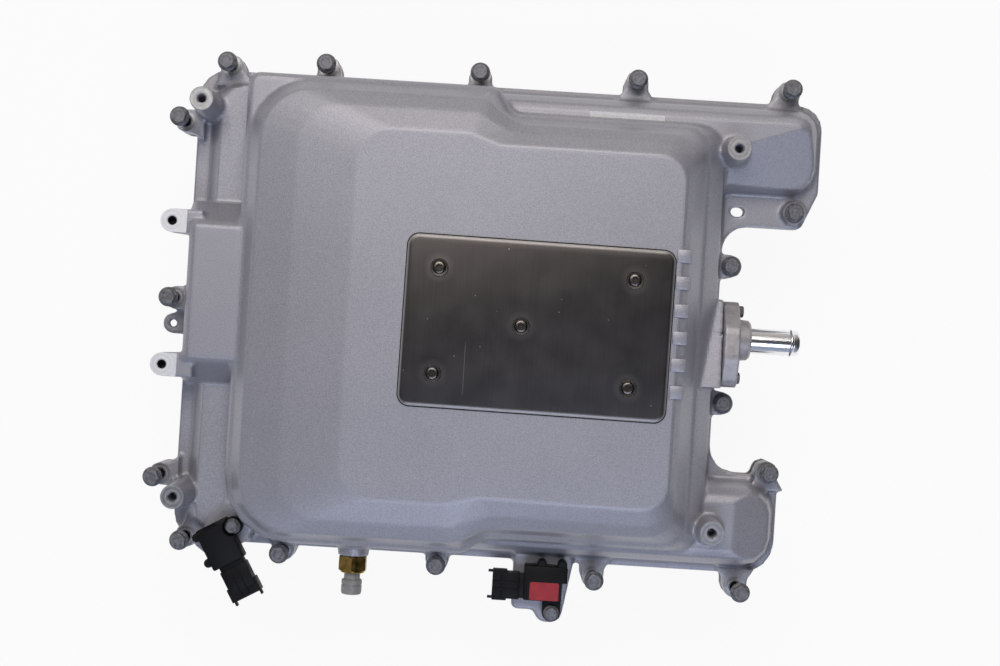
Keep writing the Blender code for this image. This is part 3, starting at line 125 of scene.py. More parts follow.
# Walls: painted plaster, warm white above and bluish below, at a low level that the metal mirrors
world = bpy.data.worlds.new("studio")
bpy.context.scene.world = world
world.use_nodes = True
tree = world.node_tree
way = add(tree, "ShaderNodeTexCoord")
axes = add(tree, "ShaderNodeSeparateXYZ", None, Vector=way.outputs["Generated"])
level = add(tree, "ShaderNodeMath", {"operation": "ABSOLUTE"}, _0=axes.outputs["Y"])
wall = add(
    tree,
    "ShaderNodeMapRange",
    {"From Min": 0.45, "From Max": 0.95, "To Min": 0.06, "To Max": 0.50},
    Value=level.outputs[0],
)
cool = add(tree, "ShaderNodeMapRange", {"From Min": -0.3, "From Max": 0.3}, Value=axes.outputs["Y"])
tint = add(
    tree,
    "ShaderNodeMix",
    {"data_type": "RGBA", 6: linear("#d5e0fb"), 7: linear("#fffaf6")},
    Factor=cool.outputs["Result"],
)
sky = tree.nodes["Background"]
tree.links.new(tint.outputs[2], sky.inputs["Color"])
left = add(
    tree,
    "ShaderNodeMapRange",
    {"From Min": -0.95, "From Max": -0.55, "To Min": 0.60, "To Max": 0.04},
    Value=axes.outputs["X"],
)
pale = add(
    tree, "ShaderNodeMath", {"operation": "MAXIMUM"}, _0=wall.outputs["Result"], _1=left.outputs["Result"]
)
tree.links.new(pale.outputs[0], sky.inputs["Strength"])

# Panels: cloth-covered soft boxes on stands; name, place, width, depth, watts and colour of each
LAMPS = (
    ("panel_upper", (-0.15, 0.88, 1.75), 1.2, 0.9, 15.5, "#fffaf6"),
    ("panel_lower", (0.15, -1.00, 1.75), 1.2, 0.8, 11, "#dfe8ff"),
)
for name, place, width, depth, watts, colour in LAMPS:
    turn = (-Vector(place)).to_track_quat("-Z", "Y").to_euler()
    bpy.ops.object.light_add(type="AREA", location=place, rotation=turn)
    lamp = bpy.context.object
    lamp.name = name
    lamp.data.shape = "RECTANGLE"
    lamp.data.size = width
    lamp.data.size_y = depth
    lamp.data.energy = watts
    lamp.data.color = linear(colour)[:3]

# Upper cover: one sand-cast aluminium shell, domed over the charge cooler, with soft cast radii.
# It is finished in a silver texture powder coat, a matt metallic skin with a fine sandy grain.
COVER_VOXEL = 0.0014
COVER_SOFTEN = 3
COVER_TRIANGLES = 190000
COVER_SILVER = "#adacb3"
COVER_SHADE = "#9f9ea5"
COVER_GLINT = "#bbbac1"
COVER_CLOUD = 0.06
# The coat's grit is about 0.3 mm, drawn coarser so that it shows in the picture
COVER_GRAIN = 0.0008
# Place, size and tilt of the block that trims the ribs off, which follow as pieces of their own
TRIM_PLACE = (0.1319, 0.003, 0.2014)
TRIM_SIZE = (0.016, 0.124, 0.010)
TRIM_TILT = 45


def alone(piece):
    """Makes a piece the active one and the only one selected."""
    bpy.ops.object.select_all(action="DESELECT")
    bpy.context.view_layer.objects.active = piece
    piece.select_set(True)


def plain_copy(node, name):
    """A merged copy of a CAD node's mesh as a new piece, ready for edit mode or modifiers."""
    piece = bpy.data.objects.new(name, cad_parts[node].data.copy())
    bpy.context.scene.collection.objects.link(piece)
    piece.data.materials.clear()
    alone(piece)
    bpy.ops.object.mode_set(mode="EDIT")
    bpy.ops.mesh.select_all(action="SELECT")
    bpy.ops.mesh.remove_doubles(threshold=0.000002)
    bpy.ops.mesh.customdata_custom_splitnormals_clear()
    bpy.ops.object.mode_set(mode="OBJECT")
    return piece


def apply(piece, kind, **settings):
    """Adds a modifier with its settings and applies it."""
    modifier = piece.modifiers.new(kind.lower(), kind)
    for name, value in settings.items():
        setattr(modifier, name, value)
    bpy.context.view_layer.objects.active = piece
    bpy.ops.object.modifier_apply(modifier=modifier.name)


def cast_radii(piece, voxel, rounds, triangles):
    """Gives a piece soft cast radii: remeshed at a voxel size, softened and thinned."""
    apply(piece, "REMESH", mode="VOXEL", voxel_size=voxel)
    apply(piece, "SMOOTH", factor=0.5, iterations=rounds)
    count = sum(len(p.vertices) - 2 for p in piece.data.polygons)
    apply(piece, "DECIMATE", ratio=min(1.0, triangles / count))


def boolean(piece, tool, operation):
    """Joins, cuts or intersects a piece with a tool, which is used up."""
    apply(piece, "BOOLEAN", object=tool, operation=operation, solver="EXACT")
    bpy.data.objects.remove(tool)


def paint(piece, material, body):
    """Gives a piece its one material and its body."""
    piece.data.materials.clear()
    piece.data.materials.append(material)
    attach(piece, body)


def powder_coat():
    """Silver texture powder coat: matt metallic flakes in a slightly rough, grainy film."""
    material, tree, shader = new_finish("silver_texture_powder_coat", Metallic=0.55, Roughness=0.48)
    place = add(tree, "ShaderNodeTexCoord")
    grain = add(
        tree, "ShaderNodeTexNoise", {"Scale": 1 / COVER_GRAIN, "Detail": 2.0}, Vector=place.outputs["Object"]
    )
    broad = add(
        tree, "ShaderNodeTexNoise", {"Scale": 1 / COVER_CLOUD, "Detail": 3.0}, Vector=place.outputs["Object"]
    )
    tone = add(tree, "ShaderNodeValToRGB", None, Fac=grain.outputs["Fac"])
    tone.color_ramp.elements[0].position = 0.30
    tone.color_ramp.elements[0].color = linear(COVER_SHADE)
    tone.color_ramp.elements[1].position = 0.72
    tone.color_ramp.elements[1].color = linear(COVER_GLINT)
    middle = tone.color_ramp.elements.new(0.5)
    middle.color = linear(COVER_SILVER)
    cloud = add(
        tree,
        "ShaderNodeMix",
        {"data_type": "RGBA", "blend_type": "MULTIPLY", "Factor": 0.12},
        _6=tone.outputs["Color"],
        _7=broad.outputs["Fac"],
    )
    tree.links.new(cloud.outputs[2], shader.inputs["Base Color"])
    bump = add(tree, "ShaderNodeBump", {"Strength": 0.28, "Distance": 0.0003}, Height=grain.outputs["Fac"])
    tree.links.new(bump.outputs["Normal"], shader.inputs["Normal"])
    return material


cover = plain_copy("upper_cover", "cover_casting")
bpy.ops.object.select_all(action="DESELECT")
bpy.ops.mesh.primitive_cube_add(size=1, location=TRIM_PLACE)
trimmer = bpy.context.object
trimmer.scale = TRIM_SIZE
trimmer.rotation_euler = (0, math.radians(TRIM_TILT), 0)
bpy.ops.object.transform_apply()
boolean(cover, trimmer, "DIFFERENCE")
cast_radii(cover, COVER_VOXEL, COVER_SOFTEN, COVER_TRIANGLES)
paint(cover, powder_coat(), "housing")
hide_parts("upper_cover")

# Ribs: six short flat-topped ribs beside the trim plate, part of the cover's casting.
# They carry the cover's own coat and keep crisp edges.
RIB_PLACES = (0.0532, 0.0346, 0.0153, -0.0035, -0.0222, -0.0410)
RIB_HALF = 0.0047
RIB_ROOT = 0.1208
RIB_TIP = 0.1312
RIB_LEVEL = 0.2019
RIB_DEEP = 0.012
RIB_EDGE = 0.0008


def moulding(low, high, edge=0.0007):
    """A block between two corners with moulded edges."""
    bpy.ops.object.select_all(action="DESELECT")
    low, high = Vector(low), Vector(high)
    bpy.ops.mesh.primitive_cube_add(size=1, location=(low + high) / 2)
    piece = bpy.context.object
    piece.scale = high - low
    bpy.ops.object.transform_apply()
    bpy.ops.object.mode_set(mode="EDIT")
    bpy.ops.mesh.select_all(action="SELECT")
    bpy.ops.mesh.bevel(offset=edge, segments=2, affect="EDGES")
    bpy.ops.object.mode_set(mode="OBJECT")
    return piece


for n, y in enumerate(RIB_PLACES, 1):
    foot = (RIB_ROOT, y - RIB_HALF, RIB_LEVEL - RIB_DEEP)
    rib = moulding(foot, (RIB_TIP, y + RIB_HALF, RIB_LEVEL), RIB_EDGE)
    rib.name = f"cover_rib_{n}"
    bpy.ops.object.shade_smooth_by_angle(angle=math.radians(30))
    paint(rib, cover.data.materials[0], "housing")

# Cover bolts: seventeen M6 hexagon flange bolts, cold headed and zinc-flake coated, dull and mottled.
# They stand part-way out of the cover's lobes on dark, oily threads.
HEAD_FLATS = 0.0100
HEAD_HEIGHT = 0.0066
HEAD_FLANGE = 0.0070
HEAD_SEAT = 0.0012
DISH_DEEP = 0.00045
SHANK_RADIUS = 0.00295
SHANK_PLAIN = 0.0015
BOLT_TURN = 47
COVER_BOLTS = 17
THREAD_PITCH = 0.0010
THREAD_DEPTH = 0.0004
ZINC = "#8f8f92"
ZINC_DARK = "#636367"
OILY_STEEL = "#2b2a2a"


def mottled(name, dark, light, spot, rough, bump, **values):
    """A finish that wanders between two colours over spots of a real size, with its sheen and relief."""
    material, tree, shader = new_finish(name, **values)
    place = add(tree, "ShaderNodeTexCoord")
    cloud = add(
        tree, "ShaderNodeTexNoise", {"Scale": 1 / spot, "Detail": 4.0}, Vector=place.outputs["Object"]
    )
    spread = add(tree, "ShaderNodeMapRange", {"From Min": 0.3, "From Max": 0.7}, Value=cloud.outputs["Fac"])
    tones = {"data_type": "RGBA", 6: linear(dark), 7: linear(light)}
    tone = add(tree, "ShaderNodeMix", tones, Factor=spread.outputs["Result"])
    sheen = add(
        tree, "ShaderNodeMapRange", {"To Min": rough[0], "To Max": rough[1]}, Value=spread.outputs["Result"]
    )
    relief = add(tree, "ShaderNodeBump", {"Strength": bump, "Distance": 0.0002}, Height=cloud.outputs["Fac"])
    tree.links.new(tone.outputs[2], shader.inputs["Base Color"])
    tree.links.new(sheen.outputs["Result"], shader.inputs["Roughness"])
    tree.links.new(relief.outputs["Normal"], shader.inputs["Normal"])
    return material


def selected_where(piece, test):
    """In edit mode: selects the faces whose middle and normal pass the test, and nothing else."""
    bpy.ops.mesh.select_all(action="DESELECT")
    bpy.ops.mesh.select_mode(type="FACE")
    shape = bmesh.from_edit_mesh(piece.data)
    for face in shape.faces:
        face.select = test(face.calc_center_median(), face.normal)
    shape.select_flush_mode()
    bmesh.update_edit_mesh(piece.data)


def spun(name, profile, steps):
    """A closed body turned about Z from a profile of (radius, height) points that starts and ends on it."""
    bpy.ops.object.select_all(action="DESELECT")
    bpy.ops.mesh.primitive_plane_add(size=1)
    piece = bpy.context.object
    piece.name = name
    bpy.ops.object.mode_set(mode="EDIT")
    bpy.ops.mesh.delete(type="VERT")
    shape = bmesh.from_edit_mesh(piece.data)
    line = [shape.verts.new((radius, 0, height)) for radius, height in profile]
    for first, second in zip(line, line[1:]):
        shape.edges.new((first, second))
    bmesh.update_edit_mesh(piece.data)
    bpy.ops.mesh.select_all(action="SELECT")
    bpy.ops.mesh.spin(steps=steps, angle=math.tau, center=(0, 0, 0), axis=(0, 0, 1))
    bpy.ops.mesh.select_all(action="SELECT")
    bpy.ops.mesh.remove_doubles(threshold=0.000003)
    bpy.ops.mesh.normals_make_consistent(inside=False)
    bpy.ops.object.mode_set(mode="OBJECT")
    return piece


def hexagon_head():
    """Forged head: a chamfered hexagon on a conical washer flange, with a shallow dish on top."""
    bpy.ops.object.select_all(action="DESELECT")
    tall = HEAD_HEIGHT - HEAD_SEAT
    bpy.ops.mesh.primitive_cylinder_add(
        vertices=6,
        radius=HEAD_FLATS / 3**0.5,
        depth=tall,
        location=(0, 0, HEAD_SEAT + tall / 2),
    )
    head = bpy.context.object
    bpy.ops.object.transform_apply()
    steep = HEAD_FLATS / 2 + 0.0001
    cone = [
        (0, 0), (0.0075, 0), (0.0075, HEAD_HEIGHT - 0.0017), (steep - 0.0004, HEAD_HEIGHT), (0, HEAD_HEIGHT),
    ]
    boolean(head, spun("cone", cone, 48), "INTERSECT")
    flange = [(0, 0), (HEAD_FLANGE - 0.0003, 0), (HEAD_FLANGE, 0.0004), (HEAD_FLANGE, 0.0009)]
    flange += [(HEAD_FLANGE - 0.0004, 0.0013), (0.0054, 0.0021), (0, 0.0021)]
    boolean(head, spun("flange", flange, 48), "UNION")
    dish = [(0, HEAD_HEIGHT - DISH_DEEP), (0.0029, HEAD_HEIGHT - DISH_DEEP + 0.0001)]
    dish += [(0.0034, HEAD_HEIGHT + 0.0004), (0, HEAD_HEIGHT + 0.0004)]
    boolean(head, spun("dish", dish, 32), "DIFFERENCE")
    return head


def threaded_shank(length, radius):
    """Rolled thread below the head, drawn as rings at the real pitch."""
    level = -SHANK_PLAIN
    profile = [(0, 0.0004), (radius, 0.0004), (radius, level)]
    while level > 0.001 - length:
        profile += [(radius - THREAD_DEPTH, level - THREAD_PITCH / 2), (radius, level - THREAD_PITCH)]
        level -= THREAD_PITCH
    return spun("shank", [*profile, (radius - 0.0006, -length), (0, -length)], 16)


def bolt(name, node, master, finishes, axis="Z"):
    """One bolt in a CAD bolt's place: head and thread sized from its box, turned if it lies along X."""
    low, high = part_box(node)
    along = "XYZ".index(axis)
    across = 1 if axis == "X" else 0
    size = (high[across] - low[across]) / (2 * HEAD_FLANGE)
    length = high[along] - low[along] - HEAD_HEIGHT * size
    head = bpy.data.objects.new(name, master.data.copy())
    bpy.context.scene.collection.objects.link(head)
    head.data.transform(Matrix.Scale(size, 4))
    shank = threaded_shank(length, SHANK_RADIUS * size)
    for part, finish in ((head, finishes[0]), (shank, finishes[1])):
        part.data.materials.clear()
        part.data.materials.append(finish)
    bpy.ops.object.select_all(action="DESELECT")
    shank.select_set(True)
    head.select_set(True)
    bpy.context.view_layer.objects.active = head
    bpy.ops.object.join()
    seat = (low + high) / 2
    seat[along] = high[along] - HEAD_HEIGHT * size
    if axis == "X":
        turn = Matrix.Rotation(math.pi / 2, 4, "Y")
    else:
        turn = Matrix.Rotation(math.radians(BOLT_TURN * len(bolts)), 4, "Z")
    head.data.transform(Matrix.Translation(seat) @ turn)
    bpy.ops.object.shade_smooth_by_angle(angle=math.radians(28))
    bolts.append(head)
    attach(head, "housing")
    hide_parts(node)
    return head


bolts = []
bolt_finishes = (
    mottled("zinc_flake_steel", ZINC_DARK, ZINC, 0.0022, (0.42, 0.60), 0.2, Metallic=0.6),
    mottled("oiled_rolled_thread", "#1a1919", OILY_STEEL, 0.0015, (0.32, 0.48), 0.1, Metallic=0.85),
)
bolt_head = hexagon_head()
for n in range(1, COVER_BOLTS + 1):
    bolt(f"flange_bolt_{n:02d}", f"cover_bolt_{n:02d}", bolt_head, bolt_finishes)

# Machined faces: the milling cutter takes the coating off the stand-offs, tabs and bolt lobes.
# Bare bright aluminium shows there, with turned rings round each hole and crisp edges.
BARE_ALUMINIUM = ("#909092", "#c0c0c1")
# The tab tops are drawn whiter and less metallic than the other milled faces
WHITER_TAB_ALUMINIUM = ("#f1f1f1", "#fdfdfd")
# Painted shade: the dark steel tones that colour the inside of the tab holes
HOLE_SHADE_STEEL = ("#262628", "#3a3a3c")
TURNING_PITCH = 0.0005
# x, y, level, outer radius and bore radius of each face, in metres
STAND_OFFS = (
    (-0.2162, 0.1432, 0.188, 0.00845, 0.0030),
    (-0.2196, -0.1360, 0.188, 0.00845, 0.0030),
    (0.1606, 0.1310, 0.192, 0.00845, 0.0030),
    (0.1580, -0.1375, 0.192, 0.00845, 0.0030),
)
STAND_OFF_DEEP = 0.006
SPOT_LEVEL = 0.1462
SPOT_DEEP = 0.0006
SPOT_RADIUS = 0.0078
SPOT_BORE = 0.0038


def milled(name, centre, tones, metallic):
    """Freshly milled aluminium: bright, with fine rings round the hole that catch the light."""
    material, tree, shader = new_finish(name, Metallic=metallic)
    place = add(tree, "ShaderNodeTexCoord")
    about = add(
        tree, "ShaderNodeMapping", {"Location": tuple(-c for c in centre)}, Vector=place.outputs["Object"]
    )
    rings = add(
        tree,
        "ShaderNodeTexWave",
        {
            "wave_type": "RINGS",
            "rings_direction": "Z",
            "Scale": 1 / (20 * TURNING_PITCH),
            "Distortion": 1.5,
            "Detail": 2.0,
        },
        Vector=about.outputs["Vector"],
    )
    stain = add(
        tree, "ShaderNodeTexNoise", {"Scale": 1 / 0.003, "Detail": 3.0}, Vector=place.outputs["Object"]
    )
    tone = add(
        tree,
        "ShaderNodeMix",
        {"data_type": "RGBA", 6: linear(tones[0]), 7: linear(tones[1])},
        Factor=stain.outputs["Fac"],
    )
    rough = add(tree, "ShaderNodeMapRange", {"To Min": 0.28, "To Max": 0.45}, Value=rings.outputs["Fac"])
    bump = add(tree, "ShaderNodeBump", {"Strength": 0.25, "Distance": 0.0001}, Height=rings.outputs["Fac"])
    tree.links.new(tone.outputs[2], shader.inputs["Base Color"])
    tree.links.new(rough.outputs["Result"], shader.inputs["Roughness"])
    tree.links.new(bump.outputs["Normal"], shader.inputs["Normal"])
    return material


def face_ring(name, x, y, level, outer, bore, deep):
    """A machined ring: chamfered outside, countersunk bore, its top at the level."""
    edge = min(0.0005, deep / 3)
    sink = -0.0009 if deep > 0.002 else -deep
    profile = [
        (bore, -deep), (outer, -deep), (outer, -edge), (outer - edge, 0), (bore + 0.0008, 0), (bore, sink),
    ]
    ring = spun(name, [*profile, (bore, -deep)], 56)
    ring.data.transform(Matrix.Translation((x, y, level)))
    bpy.ops.object.shade_smooth_by_angle(angle=math.radians(30))
    paint(ring, milled(f"milled_{name}", (x, y, level), BARE_ALUMINIUM, 0.7), "housing")


for n, (x, y, level, outer, bore) in enumerate(STAND_OFFS, 1):
    face_ring(f"standoff_face_{n}", x, y, level, outer, bore, STAND_OFF_DEEP)
for n in range(1, COVER_BOLTS + 1):
    low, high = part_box(f"cover_bolt_{n:02d}")
    x, y = (low.x + high.x) / 2, (low.y + high.y) / 2
    face_ring(f"bolt_spot_face_{n:02d}", x, y, SPOT_LEVEL, SPOT_RADIUS, SPOT_BORE, SPOT_DEEP)

# Tab tops: two cast tabs on the left-hand end, milled flat from the round tip to the nose wall.
# Each has a tapped hole, painted dark inside as shade; x and y of the holes come first.
TAB_FACES = ((-0.2340, 0.0577), (-0.2353, -0.0441))
TAB_LEVEL = 0.1761
TAB_HALF = 0.0082
TAB_ROOT = 0.0105
TAB_DEEP = 0.0020
TAB_EDGE = 0.0004
TAB_PROFILE = [(0, -TAB_DEEP), (TAB_HALF, -TAB_DEEP), (TAB_HALF, -TAB_EDGE), (TAB_HALF - TAB_EDGE, 0), (0, 0)]
TAB_DRILL = [(0, -0.004), (0.0033, -0.004), (0.0033, -0.0007), (0.0043, 0.0003), (0, 0.0003)]
TAB_HOLE_SHADE_CUP = [
    (0, -0.0085), (0.0031, -0.0085), (0.0031, -0.0016), (0.0026, -0.0012), (0.0026, -0.0080), (0, -0.0080),
]
for n, (x, y) in enumerate(TAB_FACES, 1):
    top = spun(f"tab_face_{n}", TAB_PROFILE, 48)
    bpy.ops.object.select_all(action="DESELECT")
    bpy.ops.mesh.primitive_cube_add(size=1, location=(TAB_ROOT / 2, 0, -TAB_DEEP / 2))
    root = bpy.context.object
    root.scale = (TAB_ROOT, 2 * TAB_HALF, TAB_DEEP)
    bpy.ops.object.transform_apply()
    boolean(top, root, "UNION")
    boolean(top, spun("drill", TAB_DRILL, 40), "DIFFERENCE")
    top.data.transform(Matrix.Translation((x, y, TAB_LEVEL)))
    alone(top)
    bpy.ops.object.shade_smooth_by_angle(angle=math.radians(30))
    paint(
        top, milled(f"milled_tab_face_{n}", (x, y, TAB_LEVEL), WHITER_TAB_ALUMINIUM, 0.2), "housing"
    )
    # Dark cup in each hole: painted shade, standing in for the shadow down the tapped hole.
    thread = spun(f"tab_hole_shade_cup_{n}", TAB_HOLE_SHADE_CUP, 40)
    thread.data.transform(Matrix.Translation((x, y, TAB_LEVEL)))
    bpy.ops.object.shade_smooth_by_angle(angle=math.radians(30))
    tapped = mottled(f"hole_painted_shade_{n}", *HOLE_SHADE_STEEL, 0.0006, (0.5, 0.7), 0.3, Metallic=0.6)
    paint(thread, tapped, "housing")

# Trim plate: 2 mm stainless sheet, blanked with round corners, its edge rolled down, then brushed.
# Five polished button-head screws hold it; a thin black sheet under it is painted shadow, the dark outline
# round its edge.
PLATE_ROLL = 0.0028
PLATE_CORNER = 0.0080
PLATE_DROP = 0.0008
PLATE_TURN = -0.5
PLATE_STEPS = (0.30, 0.32, 0.38)
# The black sheet under the plate is painted shadow along the gap round its edge: its rim, reach below and
# height above
SHADOW_RIM = 0.0008
SHADOW_BELOW = 0.0025
SHADOW_ABOVE = 0.0003
# Painted shade: both brush-line tones are made dark, standing in for the dark studio the sheet mirrors
BRUSHED_STEEL_PAINTED_DARK = "#625e5d"
BRUSH_LINES_PAINTED_DARK = "#524f4e"
# Pale steel tone of the one scratch, and of the painted highlight round each screw
SCRATCH_AND_HIGHLIGHT_STEEL = "#8b8784"
# Painted highlight: the pale tone of the rolled edge
EDGE_HIGHLIGHT_STEEL = "#c4c0bc"
SPECK_STEEL = "#b9b5b0"
SCREW_STEEL = "#6b6662"
SCRATCH_PITCH = 0.0005
SCREW_FLANGE = 0.0063
SCREW_HEIGHT = 0.0028
SCREW_SOCKET = 0.0023
SCREW_TURN = 23
# Middle and half length of the one long scratch on the sheet, in metres
SCRATCH_PLACE = (-0.0213, -0.0335)
SCRATCH_HALF = 0.0197
plate_low, plate_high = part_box("trim_plate")
screw_boxes = [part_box(f"trim_plate_screw_{n}") for n in range(1, 6)]


def brushed_stainless():
    """Brushed stainless sheet painted dark as its reflection: fine lines, one scratch, painted highlight on
    its edge and round each screw.
    """
    material, tree, shader = new_finish("brushed_stainless_sheet", Metallic=1.0)
    place = add(tree, "ShaderNodeTexCoord")
    drawn = add(
        tree,
        "ShaderNodeMapping",
        {"Scale": (1 / SCRATCH_PITCH, 1 / 0.05, 1.0)},
        Vector=place.outputs["Object"],
    )
    lines = add(tree, "ShaderNodeTexNoise", {"Scale": 1.0, "Detail": 3.0}, Vector=drawn.outputs["Vector"])
    cloud = add(
        tree, "ShaderNodeTexNoise", {"Scale": 1 / 0.02, "Detail": 4.0}, Vector=place.outputs["Object"]
    )
    specks = add(tree, "ShaderNodeTexVoronoi", {"Scale": 1 / 0.011}, Vector=place.outputs["Object"])
    # The brush lines wander between two tones, both painted dark for the sheet's dark reflection.
    tone = add(
        tree,
        "ShaderNodeMix",
        {"data_type": "RGBA", 6: linear(BRUSH_LINES_PAINTED_DARK), 7: linear(BRUSHED_STEEL_PAINTED_DARK)},
        Factor=lines.outputs["Fac"],
    )
    nearest = None
    for low, high in screw_boxes:
        centre = ((low.x + high.x) / 2, (low.y + high.y) / 2, plate_high.z)
        gap = add(
            tree, "ShaderNodeVectorMath", {"operation": "DISTANCE", 1: centre}, _0=place.outputs["Object"]
        )
        away = gap.outputs["Value"]
        if nearest is not None:
            away = add(tree, "ShaderNodeMath", {"operation": "MINIMUM"}, _0=nearest, _1=away).outputs[0]
        nearest = away
    # Painted highlight: the sheet is made paler in a ring round each screw, as if it mirrored more light
    # there.
    halo = add(
        tree,
        "ShaderNodeMapRange",
        {"From Min": 0.006, "From Max": 0.011, "To Min": 0.35, "To Max": 0.0},
        Value=nearest,
    )
    screw_highlight = add(
        tree,
        "ShaderNodeMix",
        {"data_type": "RGBA", 7: linear(SCRATCH_AND_HIGHLIGHT_STEEL)},
        Factor=halo.outputs["Result"],
        _6=tone.outputs[2],
    )
    spot = add(
        tree,
        "ShaderNodeMapRange",
        {"From Min": 0.03, "From Max": 0.05, "To Min": 0.8, "To Max": 0.0},
        Value=specks.outputs["Distance"],
    )
    dotted = add(
        tree,
        "ShaderNodeMix",
        {"data_type": "RGBA", 7: linear(SPECK_STEEL)},
        Factor=spot.outputs["Result"],
        _6=screw_highlight.outputs[2],
    )
    apart = add(
        tree,
        "ShaderNodeVectorMath",
        {"operation": "SUBTRACT", 1: (*SCRATCH_PLACE, 0.0)},
        _0=place.outputs["Object"],
    )
    size = add(tree, "ShaderNodeVectorMath", {"operation": "ABSOLUTE"}, _0=apart.outputs["Vector"])
    axes = add(tree, "ShaderNodeSeparateXYZ", None, Vector=size.outputs["Vector"])
    thin = add(
        tree,
        "ShaderNodeMapRange",
        {"From Min": 0.00015, "From Max": 0.0004, "To Min": 0.8, "To Max": 0.0},
        Value=axes.outputs["X"],
    )
    long = add(
        tree,
        "ShaderNodeMapRange",
        {"From Min": SCRATCH_HALF * 0.8, "From Max": SCRATCH_HALF, "To Min": 1.0, "To Max": 0.0},
        Value=axes.outputs["Y"],
    )
    mark = add(
        tree,
        "ShaderNodeMath",
        {"operation": "MULTIPLY"},
        _0=thin.outputs["Result"],
        _1=long.outputs["Result"],
    )
    scored = add(
        tree,
        "ShaderNodeMix",
        {"data_type": "RGBA", 7: linear(SCRATCH_AND_HIGHLIGHT_STEEL)},
        Factor=mark.outputs[0],
        _6=dotted.outputs[2],
    )
    # Painted highlight: where the rolled edge tips away from straight up, the sheet is made pale and less
    # metallic.
    upright = add(tree, "ShaderNodeSeparateXYZ", None, Vector=place.outputs["Normal"])
    rolled = add(
        tree,
        "ShaderNodeMapRange",
        {"From Min": 0.90, "From Max": 0.985, "To Min": 0.75, "To Max": 0.0},
        Value=upright.outputs["Z"],
    )
    edge_highlighted = add(
        tree,
        "ShaderNodeMix",
        {"data_type": "RGBA", 7: linear(EDGE_HIGHLIGHT_STEEL)},
        Factor=rolled.outputs["Result"],
        _6=scored.outputs[2],
    )
    solid = add(
        tree,
        "ShaderNodeMapRange",
        {"From Min": 0.0, "From Max": 0.75, "To Min": 1.0, "To Max": 0.4},
        Value=rolled.outputs["Result"],
    )
    rough = add(tree, "ShaderNodeMapRange", {"To Min": 0.26, "To Max": 0.40}, Value=cloud.outputs["Fac"])
    bump = add(tree, "ShaderNodeBump", {"Strength": 0.10, "Distance": 0.0001}, Height=lines.outputs["Fac"])
    tree.links.new(edge_highlighted.outputs[2], shader.inputs["Base Color"])
    tree.links.new(solid.outputs["Result"], shader.inputs["Metallic"])
    tree.links.new(rough.outputs["Result"], shader.inputs["Roughness"])
    tree.links.new(bump.outputs["Normal"], shader.inputs["Normal"])
    return material


def polished_steel():
    """Polished stainless screw: smooth, dark where it mirrors the dark end, with faint turning marks."""
    material, tree, shader = new_finish("polished_stainless_screw", Metallic=1.0)
    shader.inputs["Base Color"].default_value = linear(SCREW_STEEL)
    place = add(tree, "ShaderNodeTexCoord")
    marks = add(
        tree, "ShaderNodeTexNoise", {"Scale": 1 / 0.0008, "Detail": 2.0}, Vector=place.outputs["Object"]
    )
    rough = add(tree, "ShaderNodeMapRange", {"To Min": 0.20, "To Max": 0.34}, Value=marks.outputs["Fac"])
    tree.links.new(rough.outputs["Result"], shader.inputs["Roughness"])
    return material


def rounded_plate(name, low, high, corner, segments):
    """Flat sheet with round corners between two corners of its box, drawn from a plane."""
    bpy.ops.object.select_all(action="DESELECT")
    middle = (low + high) / 2
    bpy.ops.mesh.primitive_plane_add(size=1, location=(middle.x, middle.y, low.z))
    piece = bpy.context.object
    piece.name = name
    piece.scale = (high.x - low.x, high.y - low.y, 1)
    bpy.ops.object.transform_apply()
    bpy.ops.object.mode_set(mode="EDIT")
    bpy.ops.mesh.select_all(action="SELECT")
    bpy.ops.mesh.bevel(offset=corner, segments=segments, affect="VERTICES")
    bpy.ops.mesh.select_all(action="SELECT")
    bpy.ops.mesh.extrude_region_move(TRANSFORM_OT_translate={"value": (0, 0, high.z - low.z)})
    bpy.ops.mesh.select_all(action="SELECT")
    bpy.ops.mesh.normals_make_consistent(inside=False)
    bpy.ops.object.mode_set(mode="OBJECT")
    return piece


sheet = rounded_plate("brushed_trim_plate", plate_low, plate_high, PLATE_CORNER, 10)
bpy.ops.object.mode_set(mode="EDIT")
selected_where(sheet, lambda middle, normal: normal.z > 0.9)
for share in PLATE_STEPS:
    bpy.ops.mesh.inset(thickness=PLATE_ROLL * share, depth=0)
bpy.ops.object.mode_set(mode="OBJECT")
plate_middle = (plate_low + plate_high) / 2
plate_half = (plate_high - plate_low) / 2
for vertex in sheet.data.vertices:
    if vertex.co.z > plate_low.z + 0.001:
        off = [abs(vertex.co[k] - plate_middle[k]) - plate_half[k] for k in (0, 1)]
        corner = Vector([max(k + PLATE_CORNER, 0) for k in off])
        inward = -max(off)
        if corner.x and corner.y:
            inward = min(inward, PLATE_CORNER - corner.length)
        share = max(0.0, 1 - inward / PLATE_ROLL)
        vertex.co.z -= PLATE_DROP * share * share
plate_turn = Matrix.Rotation(math.radians(PLATE_TURN), 4, "Z")
plate_spin = Matrix.Translation(plate_middle) @ plate_turn @ Matrix.Translation(-plate_middle)
sheet.data.transform(plate_spin)
bpy.ops.object.shade_smooth_by_angle(angle=math.radians(40))
paint(sheet, brushed_stainless(), "housing")
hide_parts("trim_plate")
